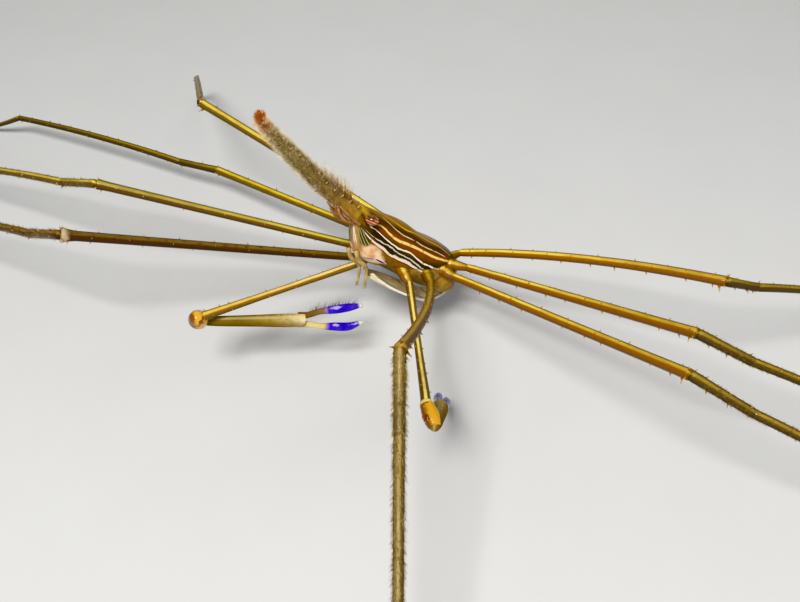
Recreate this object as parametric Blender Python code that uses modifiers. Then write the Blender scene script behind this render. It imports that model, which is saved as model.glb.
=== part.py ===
"""Yellowline arrow crab, life size, standing still on the floor z = 0.

The body is laid out in its own frame, in millimetres: x forward from the rear edge of the
carapace, y to the crab's left, z up from the ridge of the back. stand() carries a body point
to its place above the floor. Legs leave the body there and come down to small flats on the
floor. Every joint between two pieces is a thin cut, GAP wide, square to the limb.
"""
import bpy
import bmesh
from math import asin, atan2, cos, hypot, pi, radians, sin, tan
from random import Random
from mathutils import Matrix, Vector

MM = 0.001
GAP = 0.3
WELD = 1e-6
CLEAN = 2e-6
OVERRUN = 1.5

# Stance of the body
HEADING = radians(206.5)
PITCH = radians(44.5)
ROLL = radians(23)
BODY_CENTRE = Vector((8.0, 0.0, -4.0))
BODY_HEIGHT = 15.5

# Carapace, head and breast in one: station, ridge, half width, level of the widest line, belly
BODY_STATIONS = (
    (-0.6, -2.9, 1.2, -3.8, -4.9),
    (0.2, -1.6, 2.3, -3.3, -5.8),
    (1.4, -0.55, 3.2, -2.7, -6.5),
    (3.0, -0.12, 4.3, -2.7, -7.0),
    (5.0, 0.06, 5.5, -3.3, -7.2),
    (7.0, 0.05, 6.2, -4.1, -7.2),
    (9.0, -0.15, 6.2, -4.7, -7.2),
    (10.6, -0.1, 5.7, -5.0, -7.2),
    (12.2, 0.12, 5.0, -5.0, -7.2),
    (14.0, 0.1, 4.1, -4.8, -7.3),
    (15.6, -0.1, 3.4, -4.4, -7.3),
    (17.0, -0.3, 2.8, -3.9, -6.9),
    (18.4, -0.42, 2.3, -3.2, -5.6),
    (19.6, -0.48, 1.75, -2.3, -4.1),
    (20.6, -0.5, 1.25, -1.7, -2.9),
)
SECTION_POINTS = 24
SHOULDER_POWER = 0.82
BELLY_POWER = 0.62
# Lower edge of the carapace seen from the side, as station and level
MARGIN = (
    (-2.0, 1.2), (1.0, 0.1), (3.2, -0.55), (4.7, -1.45), (6.1, -2.9), (8.8, -4.7),
    (11.8, -5.9), (13.6, -6.6), (14.6, -7.6), (15.0, -9.0),
)
BLOCK_REACH = 30

# Rostrum: station, level and radius along its axis
ROSTRUM_LINE = (
    (20.6, -2.0, 1.2), (23.6, -1.6, 1.05), (27.0, -1.0, 0.98), (30.5, -0.2, 0.94),
    (34.0, 0.6, 0.84), (37.3, 1.4, 0.68), (39.6, 2.0, 0.48), (40.9, 2.5, 0.33),
    (41.8, 3.4, 0.18),
)
ROSTRUM_TEETH = 9
ROSTRUM_TOOTH_LENGTH = 0.75
TOOTH_SHRINK = 0.33
TOOTH_LIFT = 0.35

# Left eye: where its stalk leaves the head, and the middle of the ball
EYE_ROOT = Vector((19.0, 2.35, -2.1))
EYE_CENTRE = Vector((20.4, 3.6, -2.25))
EYE_RADIUS = 1.0
EYE_SEGMENTS = 14
EYE_RINGS = 9
STALK_RADII = (0.55, 0.45, 0.5)

# Root and tip of the three spines on each side of the head
HEAD_SPINES = (
    ((17.6, 2.1, -2.4), (19.0, 3.25, -2.55)),
    ((15.6, 2.8, -4.3), (16.2, 4.2, -4.6)),
    ((18.6, 1.0, -4.3), (20.1, 1.5, -4.6)),
)
HEAD_SPINE_RADIUS = 0.42

# Feelers and mouth palps: the points of the left one, and the radius at each
ANTENNA_LINE = ((20.4, 1.7, -3.3), (21.8, 1.6, -3.1), (23.3, 1.5, -2.8), (24.8, 1.4, -2.4))
ANTENNA_RADII = (0.34, 0.3, 0.27, 0.25)
ANTENNULE_LINE = ((20.9, 0.75, -3.35), (22.3, 0.8, -3.7), (23.6, 0.85, -3.3), (24.4, 0.9, -2.7))
ANTENNULE_RADII = (0.36, 0.32, 0.28, 0.25)
MAXILLIPED_LINE = (
    (18.4, 0.85, -6.7), (17.2, 0.85, -7.7), (15.4, 0.8, -8.1), (14.6, 0.8, -9.4),
    (14.1, 0.9, -10.9),
)
MAXILLIPED_RADII = (0.42, 0.42, 0.36, 0.3, 0.25)

# Ten limbs leave the breast at sockets: socket end, end of the short base, and socket radius
SOCKETS = {
    "claw": ((11.6, 4.6, -6.9), (11.2, 5.75, -7.8), 1.0),
    "leg_1": ((8.9, 6.2, -5.8), (9.3, 7.7, -6.6), 1.0),
    "leg_2": ((6.0, 6.1, -4.0), (5.2, 7.5, -4.2), 0.95),
    "leg_3": ((4.3, 5.6, -2.5), (3.1, 7.2, -2.1), 0.9),
    "leg_4": ((3.2, 3.9, -0.95), (3.8, 5.5, -0.4), 0.72),
}
# Swelling on each side of the breast over the belly flap: its middle and half sizes
BREAST_SWELLING = Vector((3.6, 3.9, -5.1))
SWELLING_SIZE = (2.5, 1.5, 1.7)
SWELLING_SEGMENTS = 12
SWELLING_RINGS = 8
BASE_END_RADIUS = 0.62
BASE_WAIST = 0.78
BASE_MIDDLE = 0.55
BOSS_DEPTH = 2.6

# Lengths of each leg's merus, carpus, propodus and dactylus
LEG_LENGTHS = {
    "leg_1": (44.0, 8.5, 40.5, 13.5),
    "leg_2": (43.5, 8.5, 39.3, 13.0),
    "leg_3": (40.0, 8.0, 35.9, 12.0),
    "leg_4": (38.5, 6.0, 35.0, 11.5),
}
# Merus direction round and up, direction of the shin round, on the floor's own compass, and how
# much of its length the merus bows to its right and upward
LEG_POSES = {
    ("right", "leg_1"): (-158.7, 21.6, 142, (0, 0)),
    ("right", "leg_2"): (-179.5, 17.5, 145, (0, 0)),
    ("right", "leg_3"): (142, -5, 154, (0, 0)),
    ("right", "leg_4"): (153.2, 20, 102, (0, 0.01)),
    ("left", "leg_1"): (-96.6, 32.3, -90.5, (-0.022, 0)),
    ("left", "leg_2"): (-53.1, 18.7, -18, (0, 0)),
    ("left", "leg_3"): (-48.2, 20, -7, (0, 0)),
    ("left", "leg_4"): (-29.3, 15.4, 23, (0, 0.03)),
}
CARPUS_BEND = radians(2)
PROPODUS_BEND = radians(5)
DACTYLUS_BEND = radians(-20)
SHIN_BOW = (0.0, 0.018)
TOE_BOW = (0.0, -0.018)
NO_BOW = (0.0, 0.0)
FOOT_HEIGHT = 0.6
MERUS_RADII = (0.58, 0.6, 0.61, 0.62, 0.63, 0.65, 0.67, 0.74)
CARPUS_RADII = (0.7, 0.62, 0.6, 0.62)
PROPODUS_RADII = (0.58, 0.55, 0.53, 0.5, 0.48)
DACTYLUS_RADII = (0.48, 0.44, 0.4, 0.35, 0.29)

# Claw limbs: merus, carpus, palm and finger lengths
CLAW_LENGTHS = (26.7, 3.2, 14.6, 8.2)
# Directions of merus, carpus and palm, and the side to which the movable finger opens
CLAW_POSES = {
    "right": ((-142, 9), (95, -50), (13, -11), (0.0, 0.67, 0.74)),
    "left": ((-86, 8.6), (-72, -15), (84, -38), (-1.0, 0.2, 0.6)),
}
CLAW_MERUS_RADII = (0.6, 0.6, 0.57, 0.58, 0.64, 0.74)
CLAW_CARPUS_RADII = (0.95, 1.22, 0.78)
PALM_RADII = (0.56, 0.72, 0.78, 0.86, 0.95, 0.92)
FINGER_RADII = (0.45, 0.42, 0.6, 0.58, 0.25)
# How far each finger stands off the palm's axis at every quarter of its length
MOVABLE_FINGER = {"right": (0.7, 1.2, 1.45, 1.75, 2.0), "left": (0.7, 0.95, 1.05, 1.1, 1.0)}
FIXED_FINGER = (0.55, 0.85, 0.95, 0.95, 0.35)
FINGER_SINK = 1.0

# Belly flap of the female, from the rear edge of the carapace round under the breast: station,
# level, half width, and how far it hangs open, as its drop for each millimetre to the left
ABDOMEN_LINE = (
    (0.1, -1.0, 1.3, 0.0), (-1.0, -2.2, 1.4, 0.0), (-1.35, -4.0, 1.4, 0.0), (-0.9, -5.9, 1.4, 0.02),
    (0.5, -7.2, 1.9, 0.06), (2.8, -8.0, 2.8, 0.12), (5.6, -8.4, 4.2, 0.17), (8.8, -8.75, 4.4, 0.17),
    (11.4, -9.0, 3.4, 0.17), (13.1, -8.95, 2.1, 0.16), (13.9, -8.7, 0.9, 0.12),
)
ABDOMEN_STEPS = 2
ABDOMEN_THICKNESS = 0.6
ABDOMEN_CURL = 0.4
ABDOMEN_COLUMNS = 3

# Rows of thorns along a limb: angle round it with up at 90, first and last place as shares of
# its length, how many, and how far they stand out
MERUS_THORNS = ((75, 0.1, 0.9, 5, 0.4), (150, 0.15, 0.84, 3, 0.32), (-60, 0.12, 0.88, 4, 0.38))
KNEE_THORNS = ((90, 0.965, 0.965, 1, 0.65), (10, 0.965, 0.965, 1, 0.6), (170, 0.965, 0.965, 1, 0.6),
               (-35, 0.955, 0.955, 1, 0.85), (-145, 0.955, 0.955, 1, 0.85))
WRIST_THORNS = ((90, 0.88, 0.88, 1, 0.6), (-40, 0.86, 0.86, 1, 0.6), (-140, 0.86, 0.86, 1, 0.6))
PROPODUS_THORNS = ((60, 0.12, 0.9, 4, 0.35), (-100, 0.2, 0.85, 3, 0.35))
CLAW_MERUS_THORNS = ((60, 0.1, 0.9, 4, 0.3), (180, 0.15, 0.85, 3, 0.3), (-70, 0.2, 0.94, 3, 0.35))
PALM_THORNS = ((80, 0.14, 0.6, 3, 0.25), (200, 0.2, 0.75, 3, 0.25))
THORN_ROOT = 0.25
THORN_LEAN = 0.35
THORN_SINK = 0.3
THORN_TIP = 0.2
THORN_VARIATION = 0.25
THORN_TURN = 12
THORN_SHIFT = 0.25
THORN_SIDES = 5
DRAW = Random(11)

MATERIALS = {
    "shell": ((0.33, 0.17, 0.05, 1), 0.35),
    "gold": ((0.62, 0.36, 0.05, 1), 0.3),
    "brown": ((0.28, 0.17, 0.07, 1), 0.6),
    "tan": ((0.5, 0.38, 0.16, 1), 0.6),
    "violet": ((0.1, 0.07, 0.62, 1), 0.25),
    "cream": ((0.6, 0.55, 0.4, 1), 0.4),
    "red": ((0.45, 0.05, 0.03, 1), 0.15),
}


def clear_scene():
    for item in list(bpy.data.objects):
        bpy.data.objects.remove(item, do_unlink=True)


def finish(name):
    """Return the Principled material of that finish, made once."""
    material = bpy.data.materials.get(name)
    if material is None:
        colour, roughness = MATERIALS[name]
        material = bpy.data.materials.new(name)
        material.use_nodes = True
        shader = material.node_tree.nodes["Principled BSDF"]
        shader.inputs["Base Color"].default_value = colour
        shader.inputs["Roughness"].default_value = roughness
        shader.inputs["Metallic"].default_value = 0.0
    return material


def mirrored(point, side):
    return Vector((point[0], point[1] if side == "left" else -point[1], point[2]))


def stand_matrix():
    turn = Matrix.Rotation(HEADING, 3, "Z") @ Matrix.Rotation(-PITCH, 3, "Y")
    return turn @ Matrix.Rotation(ROLL, 3, "X")


STAND = stand_matrix()


def stand(point):
    """Carry a body point, in millimetres, to its place above the floor."""
    return STAND @ (Vector(point) - BODY_CENTRE) + Vector((0, 0, BODY_HEIGHT))


def compass(azimuth, rise):
    a, r = radians(azimuth), radians(rise)
    return Vector((cos(a) * cos(r), sin(a) * cos(r), sin(r)))


def new_object(name, mesh, collection=None):
    item = bpy.data.objects.new(name, mesh)
    (collection or PARTS).objects.link(item)
    return item


def mesh_object(name, build, collection=None):
    """Make an object from build(bm), with its shape in metres."""
    bm = bmesh.new()
    build(bm)
    bmesh.ops.scale(bm, vec=(MM, MM, MM), verts=bm.verts)
    bmesh.ops.recalc_face_normals(bm, faces=bm.faces)
    mesh = bpy.data.meshes.new(name)
    bm.to_mesh(mesh)
    bm.free()
    return new_object(name, mesh, collection)


def tube(name, points, radii, sides=8, collection=None):
    """Make a tapering closed tube through the points, as a mesh, from a bevelled curve."""
    curve = bpy.data.curves.new(name, "CURVE")
    curve.dimensions = "3D"
    curve.bevel_depth = max(radii) * MM
    curve.bevel_resolution = sides // 4
    curve.use_fill_caps = True
    spline = curve.splines.new("POLY")
    spline.points.add(len(points) - 1)
    for spot, point, radius in zip(spline.points, points, radii):
        spot.co = (*(Vector(point) * MM), 1)
        spot.radius = radius / max(radii)
    rail = new_object(name + "_rail", curve, collection)
    mesh = bpy.data.meshes.new_from_object(rail.evaluated_get(bpy.context.evaluated_depsgraph_get()))
    bm = bmesh.new()
    bm.from_mesh(mesh)
    bmesh.ops.remove_doubles(bm, verts=bm.verts, dist=WELD)
    bmesh.ops.recalc_face_normals(bm, faces=bm.faces)
    bm.to_mesh(mesh)
    bm.free()
    item = new_object(name, mesh, collection)
    item.matrix_world = rail.matrix_world
    bpy.data.objects.remove(rail, do_unlink=True)
    bpy.data.curves.remove(curve)
    return item


def cut_end(item, point, outward):
    """Cut an object square at a point and close it there; what lies outward goes."""
    bm = bmesh.new()
    bm.from_mesh(item.data)
    bmesh.ops.bisect_plane(bm, geom=bm.verts[:] + bm.edges[:] + bm.faces[:], dist=1e-7,
                           plane_co=Vector(point) * MM, plane_no=outward, clear_outer=True)
    rim = [edge for edge in bm.edges if edge.is_boundary]
    bmesh.ops.holes_fill(bm, edges=rim, sides=0)
    bmesh.ops.recalc_face_normals(bm, faces=bm.faces)
    bm.to_mesh(item.data)
    bm.free()


def spare_length(one, other, radius):
    """Return how far a tube runs on past a joint before its cut, by how sharp the bend is."""
    return radius * (1 + OVERRUN * tan(one.angle(other) / 2))


def limb(name, before, points, after, radii):
    """Make one limb piece whose ends meet its neighbours' ends face to face.

    before and after are the neighbours' directions; each end is cut in the plane that halves
    the bend, half the gap short of the joint.
    """
    points = [Vector(point) for point in points]
    first = (points[1] - points[0]).normalized()
    last = (points[-1] - points[-2]).normalized()
    path, sizes = list(points), list(radii)
    if before is not None:
        before = Vector(before).normalized()
        path.insert(0, points[0] - before * spare_length(before, first, radii[0]))
        sizes.insert(0, radii[0])
    if after is not None:
        after = Vector(after).normalized()
        path.append(points[-1] + after * spare_length(last, after, radii[-1]))
        sizes.append(radii[-1])
    item = tube(name, path, sizes)
    if before is not None:
        normal = (first + before).normalized()
        cut_end(item, points[0] + normal * GAP / 2, -normal)
    if after is not None:
        normal = (last + after).normalized()
        cut_end(item, points[-1] - normal * GAP / 2, normal)
    return item


def spike(root, tip, radius, collection):
    """Make one thorn as a thin blunt cone with its root inside what it grows from."""
    root, tip = Vector(root), Vector(tip)
    axis = tip - root

    def build(bm):
        turn = axis.to_track_quat("Z", "Y").to_matrix().to_4x4()
        place = Matrix.Translation((root + tip) / 2) @ turn
        bmesh.ops.create_cone(bm, cap_ends=True, segments=THORN_SIDES, radius1=radius,
                              radius2=radius * THORN_TIP, depth=axis.length, matrix=place)
    return mesh_object("spike", build, collection)


def side_axes(direction):
    """Return two axes across a direction, the first level and the second upward."""
    level = direction.cross(Vector((0, 0, 1))).normalized()
    return level, level.cross(direction).normalized()


def place_along(points, radii, share):
    """Return the point, direction and radius at a share of a limb's length."""
    steps = [(b - a).length for a, b in zip(points, points[1:])]
    left = share * sum(steps)
    for i, step in enumerate(steps):
        if left <= step or i == len(steps) - 1:
            part = left / step
            radius = radii[i] + (radii[i + 1] - radii[i]) * part
            return points[i].lerp(points[i + 1], part), (points[i + 1] - points[i]) / step, radius
        left -= step


def thorn_rows(points, radii, rows, collection):
    """Set rows of thorns on a limb, leaning to its far end, each a little unlike the next."""
    for angle, first, last, count, length in rows:
        for i in range(count):
            share = first + (last - first) * i / max(count - 1, 1)
            if count > 1:
                share += DRAW.uniform(-THORN_SHIFT, THORN_SHIFT) * (last - first) / count
            point, direction, radius = place_along(points, radii, share)
            level, up = side_axes(direction)
            turn = radians(angle + DRAW.uniform(-THORN_TURN, THORN_TURN))
            out = level * cos(turn) + up * sin(turn)
            size = length * (1 + DRAW.uniform(-THORN_VARIATION, THORN_VARIATION))
            tip = point + out * (radius + size) + direction * size * THORN_LEAN
            spike(point + out * radius * THORN_SINK, tip, THORN_ROOT, collection)


def fuse(item, extras):
    """Join a node's extra pieces to it as one closed surface."""
    if extras.objects:
        joint = item.modifiers.new("fuse", "BOOLEAN")
        joint.operation = "UNION"
        joint.operand_type = "COLLECTION"
        joint.collection = extras
        joint.solver = "EXACT"
        apply_modifiers(item)
        for extra in list(extras.objects):
            bpy.data.objects.remove(extra, do_unlink=True)
    bpy.data.collections.remove(extras)
    keep_largest(item)
    return item


def apply_modifiers(item):
    graph = bpy.context.evaluated_depsgraph_get()
    graph.update()
    mesh = bpy.data.meshes.new_from_object(item.evaluated_get(graph))
    item.modifiers.clear()
    item.data = mesh


def surface_groups(bm):
    """List the mesh's separate surfaces, each as a list of faces."""
    left, groups = set(bm.faces), []
    while left:
        group, front = [], [left.pop()]
        while front:
            face = front.pop()
            group.append(face)
            for edge in face.edges:
                for other in edge.link_faces:
                    if other in left:
                        left.remove(other)
                        front.append(other)
        groups.append(group)
    return groups


def keep_largest(item):
    """Triangulate an object, clean its tiny edges and keep only its largest surface."""
    bm = bmesh.new()
    bm.from_mesh(item.data)
    bmesh.ops.remove_doubles(bm, verts=bm.verts, dist=CLEAN)
    bmesh.ops.dissolve_degenerate(bm, edges=bm.edges, dist=CLEAN)
    bmesh.ops.triangulate(bm, faces=bm.faces)
    groups = surface_groups(bm)
    largest = max(groups, key=lambda group: sum(face.calc_area() for face in group))
    spare = [face for group in groups if group is not largest for face in group]
    bmesh.ops.delete(bm, geom=spare, context="FACES")
    bmesh.ops.recalc_face_normals(bm, faces=bm.faces)
    bm.to_mesh(item.data)
    bm.free()


def extras_collection():
    box = bpy.data.collections.new("extras")
    bpy.context.scene.collection.children.link(box)
    return box


def body_section(station):
    """List the points of one cross section of the body, from the ridge round the left side."""
    x, ridge, half, wide, belly = station
    points = []
    for i in range(SECTION_POINTS):
        turn = 2 * pi * i / SECTION_POINTS
        across, up = sin(turn), cos(turn)
        if up >= 0:
            level = wide + (ridge - wide) * abs(up) ** SHOULDER_POWER
        else:
            level = wide + (belly - wide) * abs(up) ** BELLY_POWER
        points.append(stand((x, half * across, level)))
    return points


def body_loft(bm):
    """Bridge the body's unlike cross sections and close its two ends."""
    rings = [[bm.verts.new(point) for point in body_section(row)] for row in BODY_STATIONS]
    for ring, following in zip(rings, rings[1:]):
        for i in range(SECTION_POINTS):
            j = (i + 1) % SECTION_POINTS
            bm.faces.new((ring[i], ring[j], following[j], following[i]))
    bm.faces.new(rings[0])
    bm.faces.new(rings[-1])
    bmesh.ops.triangulate(bm, faces=bm.faces)


def margin_cutter(name, above):
    """Make the block above or below the carapace's lower edge, half the gap past it."""
    far = BLOCK_REACH if above else -BLOCK_REACH
    step = GAP / 2 if above else -GAP / 2

    def build(bm):
        profile = [Vector((x, 0, z + step)) for x, z in MARGIN]
        profile = [Vector((-BLOCK_REACH, 0, profile[0].z))] + profile
        profile[-1] = Vector((profile[-1].x + step, 0, -BLOCK_REACH))
        outline = list(profile)
        if above:
            outline += [Vector((2 * BLOCK_REACH, 0, -BLOCK_REACH)), Vector((2 * BLOCK_REACH, 0, far))]
        outline.append(Vector((profile[0].x, 0, far)))
        verts = [bm.verts.new(point + Vector((0, -BLOCK_REACH, 0))) for point in outline]
        face = bm.faces.new(verts)
        grown = bmesh.ops.extrude_face_region(bm, geom=[face])["geom"]
        moved = [item for item in grown if isinstance(item, bmesh.types.BMVert)]
        bmesh.ops.translate(bm, vec=(0, 2 * BLOCK_REACH, 0), verts=moved)
        for vert in bm.verts:
            vert.co = stand(vert.co)
    return mesh_object(name, build, CUTTERS)


def boolean(item, other, operation):
    change = item.modifiers.new("shape", "BOOLEAN")
    change.operation = operation
    change.object = other
    change.solver = "EXACT"
    apply_modifiers(item)
    bpy.data.objects.remove(other, do_unlink=True)


def socket_line(pair, side):
    end, tip, radius = SOCKETS[pair]
    end, tip = stand(mirrored(end, side)), stand(mirrored(tip, side))
    return end, tip, (tip - end).normalized(), radius


def socket_boss(pair, side, collection, grow=0.0):
    """Make the short round boss on the breast that carries one limb's base."""
    end, _, direction, radius = socket_line(pair, side)
    root, face = end - direction * BOSS_DEPTH, end - direction * GAP / 2
    return tube("boss", [root, face], [radius + grow] * 2, collection=collection)


def carapace():
    shell = mesh_object("carapace", body_loft)
    boolean(shell, margin_cutter("upper_block", True), "INTERSECT")
    for pair in SOCKETS:
        for side in ("left", "right"):
            boolean(shell, socket_boss(pair, side, CUTTERS, grow=GAP), "DIFFERENCE")
    extras = extras_collection()
    for side in ("left", "right"):
        for root, tip in HEAD_SPINES:
            spike(stand(mirrored(root, side)), stand(mirrored(tip, side)), HEAD_SPINE_RADIUS, extras)
    return fuse(shell, extras)


def thorax():
    breast = mesh_object("thorax", body_loft)
    boolean(breast, margin_cutter("lower_block", False), "INTERSECT")
    extras = extras_collection()
    for pair in SOCKETS:
        for side in ("left", "right"):
            socket_boss(pair, side, extras)
    for side in ("left", "right"):
        swelling(side, extras)
    return fuse(breast, extras)


def swelling(side, collection):
    def build(bm):
        place = Matrix.Translation(stand(mirrored(BREAST_SWELLING, side))) @ STAND.to_4x4()
        bmesh.ops.create_uvsphere(bm, u_segments=SWELLING_SEGMENTS, v_segments=SWELLING_RINGS,
                                  radius=1, matrix=place @ Matrix.Diagonal((*SWELLING_SIZE, 1)))
    return mesh_object("swelling", build, collection)


def rostrum():
    points = [stand((x, 0, z)) for x, z, _ in ROSTRUM_LINE]
    radii = [r for _, _, r in ROSTRUM_LINE]
    direction = (points[1] - points[0]).normalized()
    horn = limb("rostrum", direction, points, None, radii)
    extras = extras_collection()
    for i in range(ROSTRUM_TEETH):
        share = (i + 0.7) / (ROSTRUM_TEETH + 0.6)
        point, along, radius = place_along(points, radii, share)
        for side in (-1, 1):
            out = (STAND @ Vector((0, side, TOOTH_LIFT))).normalized()
            length = ROSTRUM_TOOTH_LENGTH * (1 - share * TOOTH_SHRINK)
            spike(point + out * radius * THORN_SINK, point + out * (radius + length) + along * length,
                  THORN_ROOT, extras)
    return fuse(horn, extras)


def eye(side):
    root, centre = stand(mirrored(EYE_ROOT, side)), stand(mirrored(EYE_CENTRE, side))
    stalk = tube(side + "_eye", [root, root.lerp(centre, 0.5), centre], STALK_RADII)
    extras = extras_collection()

    def build(bm):
        bmesh.ops.create_uvsphere(bm, u_segments=EYE_SEGMENTS, v_segments=EYE_RINGS,
                                  radius=EYE_RADIUS, matrix=Matrix.Translation(centre))
    mesh_object("ball", build, extras)
    return fuse(stalk, extras)


def feeler(side, name, line, radii):
    """Make an antenna, antennule or mouth palp of one side."""
    return tube(f"{side}_{name}", [stand(mirrored(point, side)) for point in line], radii)


def smoothed(rows, steps):
    """Return rows with more between them, read from a smooth curve through them all."""
    ends = [rows[0]] + list(rows) + [rows[-1]]
    result = []
    for a, b, c, d in zip(ends, ends[1:], ends[2:], ends[3:]):
        for i in range(steps):
            t = i / steps
            result.append(tuple(0.5 * (2 * q + (r - p) * t + (2 * p - 5 * q + 4 * r - w) * t * t
                                       + (3 * q - p - 3 * r + w) * t ** 3)
                                for p, q, r, w in zip(a, b, c, d)))
    return result + [tuple(rows[-1])]


def abdomen():
    """Bend the belly flap as an open sheet with a raised rim, then give it its thickness."""
    def build(bm):
        rows = []
        for x, z, half, lean in smoothed(ABDOMEN_LINE, ABDOMEN_STEPS):
            row = []
            for i in range(-ABDOMEN_COLUMNS, ABDOMEN_COLUMNS + 1):
                share = i / ABDOMEN_COLUMNS
                level = z + ABDOMEN_CURL * share * share - lean * half * share
                row.append(bm.verts.new(stand((x, half * share, level))))
            rows.append(row)
        for row, following in zip(rows, rows[1:]):
            for i in range(2 * ABDOMEN_COLUMNS):
                bm.faces.new((row[i], row[i + 1], following[i + 1], following[i]))
    flap = mesh_object("abdomen", build)
    wall = flap.modifiers.new("wall", "SOLIDIFY")
    wall.thickness = ABDOMEN_THICKNESS * MM
    wall.offset = 0.0
    apply_modifiers(flap)
    return flap


def base_piece(side, pair, after):
    """Make the short base between a limb's socket and its merus."""
    end, tip, direction, radius = socket_line(pair, side)
    middle = end.lerp(tip, BASE_MIDDLE)
    return limb(f"{side}_{pair}_base", direction, [end, middle, tip], after,
                [radius, radius * BASE_WAIST, BASE_END_RADIUS])


def bowed(start, end, count, bow):
    """List points from start to end, the middle moved sideways and up by shares of the length."""
    span = end - start
    level, up = side_axes(span.normalized())
    swing = (level * bow[0] + up * bow[1]) * span.length * 4
    return [start + span * (i / count) + swing * (i / count) * (1 - i / count)
            for i in range(count + 1)]


def shin_chain(knee, azimuth, lengths):
    """Bend carpus, propodus and dactylus down from the knee so that the tip meets the floor."""
    bends = (CARPUS_BEND, PROPODUS_BEND, DACTYLUS_BEND)
    run = sum(length * cos(bend) for length, bend in zip(lengths, bends))
    rise = sum(length * sin(bend) for length, bend in zip(lengths, bends))
    slope = -asin((knee.z - FOOT_HEIGHT) / hypot(run, rise)) - atan2(rise, run)
    spots = [knee]
    for length, bend in zip(lengths, bends):
        spots.append(spots[-1] + compass(azimuth, (slope + bend) * 180 / pi) * length)
    return spots


def leg(side, pair):
    merus_length, *rest = LEG_LENGTHS[pair]
    azimuth, rise, foot_azimuth, bow = LEG_POSES[side, pair]
    _, start, base_direction, _ = socket_line(pair, side)
    knee = start + compass(azimuth, rise) * merus_length
    knee, wrist, ankle, sole = shin_chain(knee, foot_azimuth, rest)
    thigh = bowed(start, knee, len(MERUS_RADII) - 1, bow)
    carpus = bowed(knee, wrist, len(CARPUS_RADII) - 1, NO_BOW)
    propodus = bowed(wrist, ankle, len(PROPODUS_RADII) - 1, SHIN_BOW)
    toe = bowed(ankle, sole, len(DACTYLUS_RADII) - 1, TOE_BOW)
    toe.append(Vector((sole.x, sole.y, 0.0)))
    shin = carpus + propodus[1:]
    label = f"{side}_{pair}"
    base_piece(side, pair, thigh[1] - thigh[0])
    merus = limb(label + "_merus", base_direction, thigh, shin[1] - shin[0], MERUS_RADII)
    lower = limb(label + "_shin", thigh[-1] - thigh[-2], shin, toe[1] - toe[0],
                 CARPUS_RADII + PROPODUS_RADII[1:])
    limb(label + "_toe", shin[-1] - shin[-2], toe, None, DACTYLUS_RADII + DACTYLUS_RADII[-1:])
    extras = extras_collection()
    thorn_rows(thigh, MERUS_RADII, MERUS_THORNS + KNEE_THORNS, extras)
    fuse(merus, extras)
    extras = extras_collection()
    thorn_rows(carpus, CARPUS_RADII, WRIST_THORNS, extras)
    thorn_rows(propodus, PROPODUS_RADII, PROPODUS_THORNS, extras)
    fuse(lower, extras)


def claw(side):
    merus_length, carpus_length, palm_length, finger_length = CLAW_LENGTHS
    merus_way, carpus_way, palm_way, up = CLAW_POSES[side]
    _, start, base_direction, _ = socket_line("claw", side)
    palm_direction = compass(*palm_way)
    elbow = start + compass(*merus_way) * merus_length
    arm = bowed(start, elbow, len(CLAW_MERUS_RADII) - 1, NO_BOW)
    turn = compass(*carpus_way)
    wrist = elbow + turn * carpus_length
    across = (Vector(up) - palm_direction * palm_direction.dot(Vector(up))).normalized()
    heel = wrist + palm_direction * palm_length
    label = side + "_claw"
    base_piece(side, "claw", arm[1] - arm[0])
    merus = limb(label + "_merus", base_direction, arm, turn, CLAW_MERUS_RADII)
    extras = extras_collection()
    thorn_rows(arm, CLAW_MERUS_RADII, CLAW_MERUS_THORNS, extras)
    fuse(merus, extras)
    limb(label + "_carpus", arm[-1] - arm[-2], [elbow, elbow.lerp(wrist, 0.5), wrist],
         palm_direction, CLAW_CARPUS_RADII)
    hand = bowed(wrist, heel, len(PALM_RADII) - 1, NO_BOW)
    palm = limb(label + "_palm", turn, hand, None, PALM_RADII)
    extras = extras_collection()
    fixed = finger_points(heel, palm_direction, -across, finger_length, FIXED_FINGER)
    tube("fixed_finger", fixed, FINGER_RADII[:1] + FINGER_RADII, collection=extras)
    thorn_rows(hand, PALM_RADII, PALM_THORNS, extras)
    fuse(palm, extras)
    free = finger_points(heel, palm_direction, across, finger_length, MOVABLE_FINGER[side])
    limb(label + "_finger", free[1] - free[0], free[1:], None, FINGER_RADII)


def finger_points(heel, direction, outward, length, offsets):
    """List a finger's points, from inside the palm out to its tip."""
    spots = [heel - direction * FINGER_SINK + outward * offsets[0]]
    for i, off in enumerate(offsets):
        share = i / (len(offsets) - 1)
        spots.append(heel + direction * (length * share + GAP / 2) + outward * off)
    return spots


def centre_on_floor():
    """Hang every piece on one empty and move it so that the model stands centred at the origin."""
    bpy.context.view_layer.update()
    corners = [vert.co for item in PARTS.objects for vert in item.data.vertices]
    middle = [(min(c[i] for c in corners) + max(c[i] for c in corners)) / 2 for i in range(2)]
    root = bpy.data.objects.new("arrow_crab", None)
    PARTS.objects.link(root)
    root.location = (-middle[0], -middle[1], 0)
    for item in PARTS.objects:
        if item is not root:
            item.parent = root


def paint():
    words = (("finger", "violet"), ("claw_palm", "tan"), ("shin", "brown"), ("toe", "brown"),
             ("merus", "gold"), ("carpus", "gold"), ("base", "gold"), ("eye", "red"),
             ("abdomen", "cream"), ("maxilliped", "cream"), ("rostrum", "tan"))
    for item in PARTS.objects:
        if item.type != "MESH":
            continue
        name = next((finish_name for word, finish_name in words if word in item.name), "shell")
        item.data.materials.clear()
        item.data.materials.append(finish(name))


clear_scene()
PARTS = bpy.data.collections.new("arrow_crab")
CUTTERS = bpy.data.collections.new("cutters")
for group in (PARTS, CUTTERS):
    bpy.context.scene.collection.children.link(group)

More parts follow.
